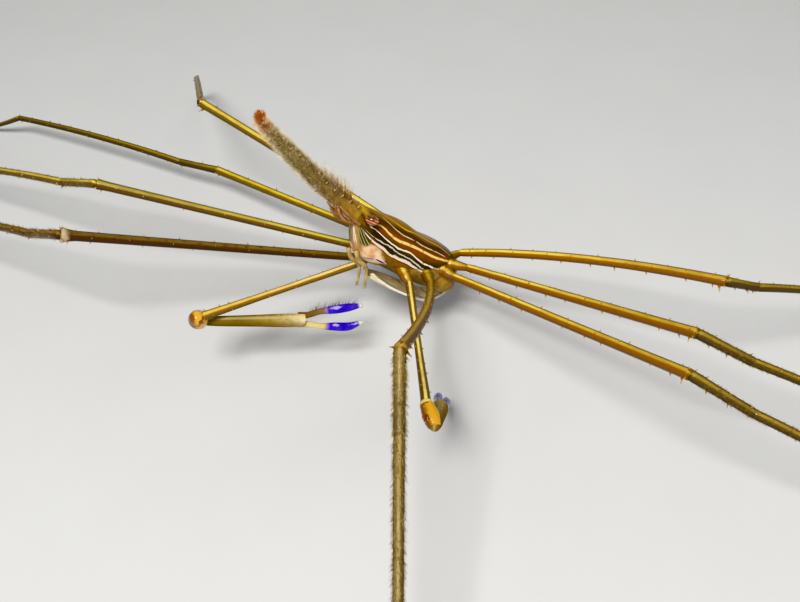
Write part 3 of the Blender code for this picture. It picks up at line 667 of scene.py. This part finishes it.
def striped_paint():
    paint = Paint("striped_shell", coat=0.03, coat_rough=0.1, specular=0.12)
    x, turn, _ = paint.noted("body")
    ground = ramp(turn * (1 / pi) + (paint.noise(500) - 0.5) * 0.025, {
        0.0: 0x9e762a, 0.16: 0x966e24, 0.24: 0x7c581c, 0.285: 0x422810, 0.35: 0x5c3210,
        0.4: 0x7e3a0c, 0.435: 0x68380a, 0.46: 0x462c0e, 0.485: 0x261a08, 0.525: 0x281c08,
        0.56: 0x704610, 0.75: 0x76581a, 1.0: 0xc49864})
    base = blend(fade(paint.noise(1100, 4), 0.5, 0.75) * 0.45, ground, 0x3a240c)
    mouth = blend(fade(paint.noise(800), 0.4, 0.65), 0xf0d0a6, 0xcc9668)
    base = blend(patch(x, turn, 16.4, 2.42, 2.0, 0.72), base, mouth)
    # A dark patch below the eye: partly the orbit's own dark brown, partly painted shadow of the eyestalk.
    base = blend(patch(x, turn, 18.7, 2.1, 1.1, 0.65) * 0.9, base, 0x3e2c10)
    front = fade(x, 18.9, 20.3) * (1 - fade(turn, 1.3, 1.7))
    base = blend(front, add_slits(base, x, turn), 0xa8842c)
    return paint.finish(add_stripes(base, x, turn), paint.noise(1700, 2) * 0.22 + 0.2, paint.noise(2600),
                        0.35, 0.00018)


bm = wrap_body(2.3, 20.6, margin_turn, 0.0, 110, 90)
bmesh.ops.solidify(bm, geom=bm.faces[:], thickness=0.35)
carapace = keep("carapace", bm, "striped_shell", striped_paint())
print("back shell:", len(carapace.polygons), "faces")

# %% [markdown]
# ## Breast, sockets and leg bases
# Under the back shell lies the breast, olive-gold and wrapped in the same way, a little inside
# the shell so that the shell's edge casts a line. Each limb starts there in a round socket, as
# one short ring-shaped piece before the long merus.

# %% Breast and bases
def breast_paint():
    paint = Paint("breast_shell", coat=0.1, specular=0.35)
    x, turn, _ = paint.noted("body")
    mottle = paint.noise(700, 4)
    base = blend(fade(mottle, 0.35, 0.7), 0xa07a30, 0x70501c)
    for station, place in ((12.6, 2.12), (10.8, 2.2), (8.7, 2.1), (6.6, 2.2)):
        base = blend(patch(x, turn, station, place, 0.8, 0.14) * 0.75, base, 0xceac84)
    base = blend(fade(x + turn * 0.8, 15.2, 17.2), base, 0xbe965c)
    base = add_stripes(add_slits(base, x, turn), x, turn)
    return paint.finish(base, mottle * 0.3 + 0.22, mottle)


def add_swelling(bm, across):
    """Add the rounded mass over the belly flap, with its place on the body noted."""
    body = bm.verts.layers.float_vector["body"]
    for vert in bmesh.ops.create_uvsphere(bm, u_segments=28, v_segments=18, radius=1.0)["verts"]:
        x, y, z = vert.co
        spot = Vector((3.6, across, -5.1)) + Vector((x * 2.5, y * 1.5, z * 1.7))
        turn = atan2(spot.y, spot.z + 3.0)
        vert[body] = (spot.x, abs(turn), turn)
        vert.co = stand(spot)


bm = wrap_body(-0.6, 15.6, lambda x: pi, 0.3, 60, 64)
bmesh.ops.holes_fill(bm, edges=[edge for edge in bm.edges if edge.is_boundary], sides=0)
for across in (3.9, -3.9):
    add_swelling(bm, across)
keep("thorax", bm, "striped_shell", breast_paint())

for side in SIDES:
    for pair, (root, tip, radius) in SOCKETS.items():
        root, tip = stand(root, side), stand(tip, side)
        reach, way = (tip - root).length, (tip - root).normalized()
        rows = ((-2.2, 1.0), (-0.5, 1.0), (-0.12, 0.97), (-0.04, 0.8), (0.04, 0.8), (0.14, 0.98),
                (0.5, 0.93), (reach * 0.6, 0.78), (reach - 0.12, 0.66), (reach - 0.02, 0.4))
        base = tube([root + way * far for far, _ in rows], [radius * size * 0.88 for _, size in rows], 22)
        limb = f"{side}_{pair}"
        keep(limb + "_base", base, "golden_shell", LEG_FINISH.get(limb, (golden,))[0])

# %% [markdown]
# ## The beak
# The long beak is a toothed horn, cream to olive, gold at its root and red at its tip. The teeth
# are leaning thorns in two rows, set as on the legs.

# %% Beak
ROSTRUM_LINE = ((20.6, -2.0, 1.2), (23.6, -1.6, 1.05), (27.0, -1.0, 0.98), (30.5, -0.2, 0.94),
                (34.0, 0.6, 0.84), (37.3, 1.4, 0.68), (39.6, 2.0, 0.48), (40.9, 2.5, 0.33),
                (41.8, 3.4, 0.18))
TEETH = 15


def beak_paint():
    paint = Paint("beak_shell", specular=0.35)
    along, lit, _ = paint.noted("limb")
    mottle = paint.noise(900, 4)
    tone = ramp(along + (mottle - 0.5) * 0.08, {
        0.0: 0xb08e3a, 0.15: 0xa27e3a, 0.27: 0x8c7040, 0.45: 0x867248, 0.6: 0x806f44,
        0.7: 0x98865a, 0.79: 0x766130, 0.87: 0x96682e, 0.94: 0x7e4c20, 1.0: 0xa44a24})
    base = blend(fade(mottle, 0.5, 0.7) * 0.55, tone, 0x463216)
    # Painted highlights: bright dots where the spines near the root face the light.
    spine_highlights = fade((along * 260.0).maths("SINE"), -0.2, 0.5) * (1 - fade(along, 0.16, 0.3))
    base = blend(fade(lit, 0.8, 0.95) * spine_highlights, base, 0xf0cd6e)
    return paint.finish(paint.tipped(base, 0xc0a068, 0.3), mottle * 0.3 + 0.3, mottle, 0.6, 0.0003)


rows = resampled(ROSTRUM_LINE, 8)
beak_points = [stand((x, 0, z)) for x, z, _ in rows]
beak_radii = [r * (1 + 0.035 * sin(i * 1.9)) for i, (_, _, r) in enumerate(rows)]
root = beak_points[0] + (beak_points[0] - beak_points[1]).normalized() * 1.4
bm = tube([root] + beak_points, [beak_radii[0]] + beak_radii, 26)
total = len(beak_points) - 1
for i in range(TEETH):
    index = min(int((i + 0.6) / (TEETH + 0.6) * total), total - 1)
    point, radius = beak_points[index], beak_radii[index]
    way = (beak_points[index + 1] - point).normalized()
    for across in (-1, 1):
        out = (STAND @ Vector((0, across, DRAW.uniform(0.1, 0.5)))).normalized()
        size = 0.72 * (1 - 0.33 * i / TEETH) * DRAW.uniform(0.75, 1.1)
        thorn(bm, point + out * radius * 0.6, point + out * (radius + size) + way * size, 0.24)
keep("rostrum", bm, "tan_shell", beak_paint())

# %% [markdown]
# ## Eyes
# Each eye is a red ball on a short stalk, with pale lines round it. The lines are rings across
# the stalk's own direction, so every point of the ball notes its direction from the middle.

# %% Eyes
def eye_paint():
    paint = Paint("eye_paint", coat=0.25, coat_rough=0.2)
    outward, across, up = paint.noted("limb")
    wave = ((across + (paint.noise(900, 2) - 0.5) * 0.1) * 12.0).maths("SINE")
    base = blend(fade(wave, 0.2, 0.9) * 0.85, 0x9c4628, 0xe4b28c)
    base = blend(fade(up, 0.5, 0.95), base, 0x623814)
    base = blend(1 - fade(outward, -0.75, -0.35), base, 0x744c1e)
    return paint.finish(base, paint.noise(3000, 2) * 0.1 + 0.16)


EYE_ROOT, EYE_CENTRE = (19.0, 2.35, -2.1), (20.4, 3.6, -2.25)
eye_shell = eye_paint()
ridge = STAND @ Vector((0, 0, 1))
for side in SIDES:
    root, centre = stand(EYE_ROOT, side), stand(EYE_CENTRE, side)
    way = (centre - root).normalized()
    up = (ridge - way * way.dot(ridge)).normalized()
    bm = tube([root - way * 0.3, root.lerp(centre, 0.3), root.lerp(centre, 0.55), centre],
              [0.56, 0.46, 0.52, 0.6], 18)
    limb = bm.verts.layers.float_vector["limb"]
    for vert in bm.verts:
        vert[limb] = (-1, 0, 0)
    for vert in bmesh.ops.create_uvsphere(bm, u_segments=32, v_segments=20, radius=1.0)["verts"]:
        out = vert.co.normalized()
        vert[limb] = (out.dot(way), out.dot(up), out.dot(BRIGHT_SIDE))
        vert.co += centre - out * 0.03 - up * out.dot(up) * 0.26
    keep(side + "_eye", bm, "eye", eye_shell)

# %% [markdown]
# ## Feelers and mouth palps
# Feelers are chains of small rings, so their radius swells and narrows in short steps. They are
# thin here, tan like the beak that they lie along, and the palps below the mouth are flatter.

# %% Feelers
def soft_shell_paint(name, first, second):
    paint = Paint(name, specular=0.35)
    mottle = paint.noise(800, 4)
    return paint.finish(blend(fade(mottle, 0.35, 0.68), first, second), mottle * 0.3 + 0.3, mottle, 0.35)


tan = soft_shell_paint("feeler_shell", 0xb27e54, 0x744c2a)
cream = soft_shell_paint("palp_shell", 0xbea06a, 0x907a48)
FEELERS = (  # node, slot and paint, line, radii, flatness
    ("antenna", "striped_shell", tan,
     ((20.4, 1.7, -3.3), (21.8, 1.6, -3.1), (23.3, 1.5, -2.8), (24.8, 1.4, -2.4)),
     (0.26, 0.21, 0.16, 0.1), 1.0),
    ("antennule", "striped_shell", tan,
     ((20.9, 0.75, -3.35), (22.3, 0.8, -3.7), (23.6, 0.85, -3.3), (24.4, 0.9, -2.7)),
     (0.28, 0.24, 0.2, 0.16), 1.0),
    ("maxilliped", "cream_flap", cream,
     ((18.4, 0.85, -6.7), (17.2, 0.85, -7.7), (15.4, 0.8, -8.1), (14.6, 0.8, -9.4), (14.1, 0.9, -10.9)),
     (0.34, 0.34, 0.28, 0.23, 0.17), 0.8),
)
for side in SIDES:
    for name, slot, shell, line, radii, flat in FEELERS:
        points = [stand(row, side) for row in resampled(line, 10)]
        sizes = [size * (1 + 0.06 * cos(i * pi)) for i, size in enumerate(smoothly(radii, len(points) - 1))]
        keep(f"{side}_{name}", tube(points, sizes, 16, flat), slot, shell)
print("feelers:", len(FEELERS) * 2)

# %% [markdown]
# ## Claws
# The claw limb is a golden arm, a knobbed wrist and a slim tan hand. Only the last two thirds of
# its fingers are violet, so the noted distance along a finger drives the change of colour.

# %% Claws
def finger_paint(name, root):
    paint = Paint(name, coat=0.1, coat_rough=0.08, specular=0.15)
    along, lit, _ = paint.noted("limb")
    tone = ramp(along + (paint.noise(700) - 0.5) * 0.05, {
        **root, 0.43: 0x967096, 0.47: 0x3a1eb6, 0.66: 0x240aa6, 0.91: 0x422ab4,
        0.95: 0xd4cece, 1.0: 0xe4dab4})
    violet = fade(along, 0.45, 0.51) * (1 - fade(along, 0.9, 0.94))
    tone = blend(fade(paint.noise(1300), 0.42, 0.62) * violet * 0.35, tone, 0x604ace)
    glint = fade(lit + (paint.noise(800, 2) - 0.5) * 0.7, 0.93, 1.05) * violet
    return paint.finish(blend(glint * 0.6, tone, 0xcec4e8), paint.noise(1800, 2) * 0.15 + 0.14,
                        paint.noise(2200, 2), 0.25, 0.0001)


def palm_paint(name, stops):
    paint = Paint(name, specular=0.0)
    along, _, down = paint.noted("limb")
    mottle = paint.noise(900, 4)
    tone = ramp(along + (mottle - 0.5) * 0.1, stops)
    base = blend(fade(mottle, 0.45, 0.7) * 0.5, tone, 0x5c4418)
    base = blend(fade(down, 0.3, 0.9) * 0.55, base, 0x604216)
    # Painted highlight: a pale cream band along the palm.
    base = blend(band(down + 0.1, 0.1, 0.4) * 0.35, base, 0xdec88c)
    return paint.finish(paint.tipped(base, 0xceb478), mottle * 0.25 + 0.22, mottle, 0.45)


def knob_paint():
    paint = Paint("knob_shell", coat=0.15, specular=0.3)
    along, lit, down = paint.noted("limb")
    # Painted shade: darker brown on the lower side.
    base = blend(fade(down, -0.1, 0.8), 0xe2a62c, 0x7a4a12)
    base = blend(fade(paint.noise(800, 2), 0.57, 0.61) * 0.9, base, 0x70220e)
    # Painted highlight: a pale spot near the elbow end, on the side that faces the light.
    base = blend(fade(lit, 0.35, 0.6) * band(along - 0.1, 0.06, 0.13) * 0.8, base, 0xffec96)
    base = blend(fade(paint.noted("extra")[0], 0.2, 0.7), base, 0xe6dece)
    return paint.finish(base, paint.noise(1800, 2) * 0.2 + 0.18, paint.noise(1500), 0.35)


CREAM_FINGER = finger_paint("cream_finger_shell", {0.0: 0x967846, 0.16: 0xd8c086, 0.38: 0xceb97a})
BROWN_FINGER = finger_paint("brown_finger_shell", {0.0: 0x6e4c1e, 0.2: 0x705022, 0.38: 0x826646})
PALM_SHELLS = {
    # The right palm's pale cream end is a painted highlight.
    "right": palm_paint("palm_shell", {
        0.0: 0x725e26, 0.4: 0x705e28, 0.68: 0x968242, 0.9: 0xc6b47c, 0.96: 0xe2d29e}),
    "left": palm_paint("left_palm_shell", {
        0.0: 0x927a46, 0.45: 0xa48c58, 0.8: 0xb49c68, 0.95: 0xccb47c}),
}
knob_shell = knob_paint()
ARM_SHELLS = {"left": gold_arm, "right": pale_arm}
ARM_RADII, FINGER_RADII = (0.56, 0.54, 0.5, 0.51, 0.57, 0.64), (0.45, 0.42, 0.6, 0.58, 0.25)
KNOB_RADII = {"right": (1.0, 1.32, 0.85), "left": (0.9, 1.05, 0.8)}
KNOB_LEAD = {"right": 0.5, "left": -0.3}
PALM_RADII = {"right": (0.56, 0.72, 0.78, 0.86, 0.95, 0.92), "left": (0.66, 0.84, 0.92, 1.02, 1.1, 1.0)}
UPPER_LINE = {"right": (0.7, 1.2, 1.45, 1.75, 2.0), "left": (0.6, 0.66, 0.66, 0.66, 0.5)}
LOWER_LINE = {"right": (0.55, 0.85, 0.95, 0.95, 0.35), "left": (0.5, 0.62, 0.62, 0.6, 0.35)}
ARM_ROWS = ((60, 0.08, 0.93, 11, 0.28), (180, 0.1, 0.9, 8, 0.26), (-70, 0.12, 0.95, 9, 0.34))
KNOB_ROWS = ((60, 0.25, 0.8, 4, 0.16), (0, 0.25, 0.8, 4, 0.14), (-50, 0.3, 0.75, 3, 0.18))
PALM_ROWS = ((80, 0.1, 0.75, 6, 0.2), (200, 0.15, 0.8, 6, 0.2))


def finger_points(heel, way, outward, length, offsets):
    """Run a finger's line from inside the hand, as far out from its axis as the offsets say."""
    spots = [heel - way * 1.0 + outward * offsets[0]]
    for i, offset in enumerate(smoothly(offsets, 20)):
        spots.append(heel + way * (length * (i / 20) + 0.15) + outward * offset)
    return spots


def claw(side):
    """Build one claw limb, and return its upper finger's line, radii and outward way."""
    arm_length, knob_length, palm_length, finger_length = CLAW_LENGTHS
    arm_turn, knob_turn, palm_turn, up = CLAW_POSES[side]
    knob_way, palm_way = compass(*knob_turn), compass(*palm_turn)
    start = stand(SOCKETS["claw"][1], side)
    elbow = start + compass(*arm_turn) * arm_length
    wrist = elbow + knob_way * knob_length
    heel = wrist + palm_way * palm_length
    across = (Vector(up) - palm_way * palm_way.dot(Vector(up))).normalized()
    label = side + "_claw"
    arm = segment(start, elbow, NO_BOW, ARM_RADII, ARM_ROWS, 36)
    keep(label + "_merus", arm, "golden_shell", ARM_SHELLS[side])
    knob = segment(elbow - knob_way * KNOB_LEAD[side], wrist, NO_BOW, KNOB_RADII[side], KNOB_ROWS, 14,
                   near=ROUND_BALL)
    keep(label + "_carpus", knob, "golden_shell", knob_shell)
    hand = segment(wrist, heel, NO_BOW, PALM_RADII[side], PALM_ROWS, 34)
    keep(label + "_palm", hand, "tan_shell", PALM_SHELLS[side])
    radii = [FINGER_RADII[0]] + smoothly(FINGER_RADII, 20)
    for name, node, way, line, shell in (
            ("_fixed_finger", "_palm", -across, LOWER_LINE, CREAM_FINGER),
            ("_finger", "_finger", across, UPPER_LINE, BROWN_FINGER)):
        points = finger_points(heel, palm_way, way, finger_length, line[side])
        keep(label + name, tube(points, radii, 16), "violet_finger", shell, label + node)
    return points, radii, across


UPPER_FINGER = {side: claw(side) for side in SIDES}

# %% [markdown]
# ## The belly flap
# The female's belly flap curls from the rear edge of the back shell round under the breast, as a
# shallow dish with a white rim. It is a grid bent along its line, walled last, and the paint
# draws a groove between its plates.

# %% Belly flap
ABDOMEN_LINE = (
    (0.1, -1.0, 1.3, 0.0), (-1.0, -2.2, 1.4, 0.0), (-1.35, -4.0, 1.4, 0.0), (-0.9, -5.9, 1.4, 0.02),
    (0.5, -7.2, 1.9, 0.06), (2.8, -8.0, 2.8, 0.12), (5.6, -8.4, 4.2, 0.17), (8.8, -8.75, 4.4, 0.17),
    (11.4, -9.0, 3.4, 0.17), (13.1, -8.95, 2.1, 0.16), (13.9, -8.7, 0.9, 0.12),
)


def flap_paint():
    paint = Paint("flap_shell", specular=0.35)
    along, out, _ = paint.noted("body")
    mottle = paint.noise(600, 4)
    base = blend(fade(mottle, 0.35, 0.7), 0xf6e8b8, 0xdac28a)
    seam = abs((along * 7 * pi).maths("SINE"))
    base = blend(1 - fade(seam, 0.04, 0.2), base, 0x9e8250)
    base = blend(fade(out, 0.84, 0.95), base, 0xe4dace)
    return paint.finish(base, mottle * 0.3 + 0.3, fade(seam, 0.0, 0.3) * 0.8 + mottle * 0.3, 0.5, 0.0003)


rows = resampled(ABDOMEN_LINE, 6)
bm = bmesh.new()
body = bm.verts.layers.float_vector.new("body")
bmesh.ops.create_grid(bm, x_segments=len(rows) - 1, y_segments=24, size=1.0)
for vert in bm.verts:
    place = (vert.co.x + 1) / 2
    across = vert.co.y
    x, z, half, lean = rows[round(place * (len(rows) - 1))]
    vert[body] = (place, abs(across), across)
    vert.co = stand((x, half * across, z + 0.4 * across * across - lean * half * across))
bmesh.ops.solidify(bm, geom=bm.faces[:], thickness=0.45)
flap = keep("abdomen", bm, "cream_flap", flap_paint())
print("belly flap:", len(flap.polygons), "faces")

# %% [markdown]
# ## Fuzz
# Short bristles hide the shells of the beak and of some shins. Hair curves would be lost in the
# export, so each bristle is a thin bent cone, made once and copied by a sum over arrays. It leans
# out a little and notes how far along the limb it grows and how near its tip a point is. Its
# place on the limb's unrolled skin is kept as a texture place, a small patch for each.

# %% Fuzz
FUZZ = Random(5)
ROOT_DEPTH = 0.06


def bristle():
    """Make one bent bristle, 1 long and 1 wide, as arrays of points and triangles."""
    bm = bmesh.new()
    bmesh.ops.create_cone(bm, cap_ends=True, segments=3, radius1=0.5, radius2=0.1, depth=1.0,
                          matrix=Matrix.Translation((0, 0, 0.5)))
    everything = bm.verts[:] + bm.edges[:] + bm.faces[:]
    bmesh.ops.bisect_plane(bm, geom=everything, plane_co=(0, 0, 0.5), plane_no=(0, 0, 1))
    bmesh.ops.triangulate(bm, faces=bm.faces)
    bmesh.ops.recalc_face_normals(bm, faces=bm.faces)
    bm.verts.index_update()
    points = np.array([vert.co[:] for vert in bm.verts])
    triangles = np.array([[vert.index for vert in face.verts] for face in bm.faces])
    bm.free()
    return points, triangles


def root_places(points, radii, count, first, last):
    """Draw roots on a tube: place, way along, way out, share along and share round."""
    places = ring_places(points, radii, 1.0)
    for _ in range(count):
        share, round_ = FUZZ.uniform(first, last), FUZZ.random()
        spot = share * (len(places) - 1)
        i = min(int(spot), len(places) - 2)
        circle = Vector((cos(round_ * 2 * pi), sin(round_ * 2 * pi), 0.0))
        root = (places[i] @ circle).lerp(places[i + 1] @ circle, spot - i)
        axis = points[i].lerp(points[i + 1], spot - i)
        yield root, (points[i + 1] - points[i]).normalized(), (root - axis).normalized(), share, round_


def coat(name, strands, slot, material):
    """Copy the bristle to every strand: root, way, out, share, round, length, width and lean."""
    points, triangles = bristle()
    corners, noted, places = [], [], []
    for root, way, out, share, round_, length, width, lean in strands:
        rise = (way + out * lean).normalized()
        side = rise.cross(out).normalized()
        local = points * (width, width, length) @ np.array([side, rise.cross(side), rise])
        bend = (points[:, 2:] ** 2) * length * 0.25
        corners.append(np.array(root) - np.array(out) * ROOT_DEPTH + local + bend * np.array(way))
        noted.append([(share, height, round_) for height in points[:, 2]])
        places.append(points[:, (0, 2)] * 0.003 + (0.01 + 0.97 * round_, 0.01 + 0.97 * share))
    corners, noted, places = [np.concatenate(rows) for rows in (corners, noted, places)]
    starts = np.arange(0, len(noted), len(points))
    faces = (triangles[None] + starts[:, None, None]).reshape(-1, 3)
    mesh = bpy.data.meshes.new(name)
    mesh.from_pydata(corners * MM + np.array(SHIFT), [], faces, shade_flat=False)
    mesh.attributes.new("limb", "FLOAT_VECTOR", "POINT").data.foreach_set("vector", noted.ravel())
    mesh.uv_layers.new(name="OFBake").data.foreach_set("uv", places[faces.ravel()].ravel())
    ride_along(name, mesh, slot, material)
    print(name, len(faces), "faces")


def coat_paint(name, pale_tip, stops, dark=0.7, pale=0.6):
    paint = Paint(name, specular=0.2)
    along, tip, _ = paint.noted("limb")
    base = blend(fade(paint.noise(1500), 0.42, 0.6) * dark, ramp(along, stops), 0x422e14)
    light = fade(tip, 0.2, 0.9) * fade(paint.noise(1000, 2), 0.42, 0.6) * (1 - fade(along, 0.8, 0.92))
    return paint.finish(blend(light * pale, base, pale_tip), paint.noise(2500, 2) * 0.2 + 0.5)


def shin_strands(leg, count, length):
    _, knee, wrist, ankle, sole = leg_joints(leg)
    line = (bowed(knee, wrist, 6, NO_BOW) + bowed(wrist, ankle, 20, SHIN_BOW)[1:]
            + bowed(ankle, sole, 8, TOE_BOW)[1:])
    radii = [0.6] * 7 + smoothly(PROPODUS_RADII, 20)[1:] + smoothly(DACTYLUS_RADII, 8)[1:]
    for root in root_places(line, radii, count, 0.01, 0.97):
        yield (*root, length * FUZZ.uniform(0.55, 1.2), FUZZ.uniform(0.045, 0.07), FUZZ.uniform(0.4, 2.2))


front_fuzz = coat_paint("front_fuzz", 0xdcc89c, {
    0.0: 0xa28c52, 0.35: 0x887248, 0.6: 0x98865a, 1.0: 0x8c7e5e}, dark=0.4, pale=0.8)
side_fuzz = coat_paint("side_fuzz", 0xbea05a, {0.0: 0x88702a, 0.5: 0x705a22, 1.0: 0x685428})
for leg, count, length, paint in (
        ("left_leg_1", 6500, 0.55, front_fuzz), ("left_leg_2", 2600, 0.36, side_fuzz),
        ("left_leg_3", 2400, 0.34, side_fuzz), ("right_leg_1", 2200, 0.4, front_fuzz),
        ("right_leg_2", 1400, 0.34, front_fuzz)):
    coat(leg + "_shin_fuzz", shin_strands(leg, count, length), "brown_shell", paint)


def beak_strands():
    """Grow short bristles all along the beak, and longer ones on its upper root."""
    for root in root_places(beak_points, beak_radii, 8500, 0.04, 0.93):
        share = root[3]
        size = 0.3 + 0.55 * min(1.0, share / 0.4) - 0.4 * max(0.0, share - 0.8) / 0.2
        lean = FUZZ.uniform(0.6, 3.0) * (1 - 0.75 * max(0.0, share - 0.85) / 0.15)
        yield (*root, size * FUZZ.uniform(0.5, 1.2), FUZZ.uniform(0.045, 0.065), lean)
    for root in root_places(beak_points, beak_radii, 1500, 0.08, 0.3):
        if root[2].dot(ridge) > 0.35:
            yield (*root, FUZZ.uniform(0.9, 2.4), FUZZ.uniform(0.04, 0.06), FUZZ.uniform(0.7, 2.4))


def finger_strands():
    """Stand a few fine hairs on the outer side of the right claw's upper finger."""
    points, radii, outward = UPPER_FINGER["right"]
    for root in root_places(points, radii, 420, 0.1, 0.9):
        if root[2].dot(outward) > 0.5:
            yield (*root, FUZZ.uniform(0.5, 1.3), 0.04, FUZZ.uniform(1.5, 4.0))


beak_fuzz = coat_paint("beak_fuzz", 0xf4e2be, {
    0.0: 0xbe8e38, 0.22: 0xb8945c, 0.5: 0xccba8a, 0.72: 0xe2cea4, 0.8: 0xce803a,
    0.9: 0xbc642c, 1.0: 0xac5426}, dark=0.4, pale=1.0)
coat("rostrum_fuzz", beak_strands(), "tan_shell", beak_fuzz)
hair = coat_paint("finger_hair", 0xc4b8b0, {0.0: 0x967650, 0.45: 0x7e6c8c, 1.0: 0x968caa})
coat("right_claw_finger_fuzz", finger_strands(), "violet_finger", hair)

# %% [markdown]
# ## Floor, lights and camera
# A plain pale floor and three soft lights hide nothing in shadow. The usual filmic view would
# wash out gold and violet, so the picture uses a neutral one, in which a painted colour comes
# out as it was mixed. The camera looks down at 42 degrees, as steeply as the crab is seen.

# %% Stage
bm = bmesh.new()
bmesh.ops.create_grid(bm, x_segments=1, y_segments=1, size=3.0)
mesh = bpy.data.meshes.new("floor")
bm.to_mesh(mesh)
bm.free()
paint = Paint("floor_paint", rough=0.85)
mesh.materials.append(paint.finish(blend(paint.noise(60), 0xd4d3d0, 0xcecdca)))
linked("floor", mesh)

AIM = Vector((0, 0, 0.01))
for name, spot, power, size in (("key", (-0.06, -0.24, 0.34), 2.15, 0.09),
                                ("fill", (0.32, -0.1, 0.22), 0.3, 0.3),
                                ("back", (0.05, 0.32, 0.26), 0.3, 0.25)):
    lamp = bpy.data.lights.new(name, "AREA")
    lamp.energy, lamp.size = power, size
    item = linked(name, lamp)
    item.location = spot
    item.rotation_euler = (AIM - Vector(spot)).to_track_quat("-Z", "Y").to_euler()

world = bpy.data.worlds.new("studio")
world.use_nodes = True
glow = world.node_tree.nodes["Background"]
glow.inputs[0].default_value, glow.inputs[1].default_value = (0.9, 0.94, 1.0, 1), 0.13
scene = bpy.context.scene
scene.world = world
scene.view_settings.view_transform = "Khronos PBR Neutral"

lens = bpy.data.cameras.new("camera")
lens.lens, lens.sensor_width, lens.clip_start = 50, 36, 0.005
camera = linked("camera", lens)
camera.location = Vector((-1.09, -124.02, 118.52)) * MM + SHIFT
camera.rotation_euler = (radians(48), 0, 0)
scene.camera = camera
print("camera at", [round(v, 4) for v in camera.location])
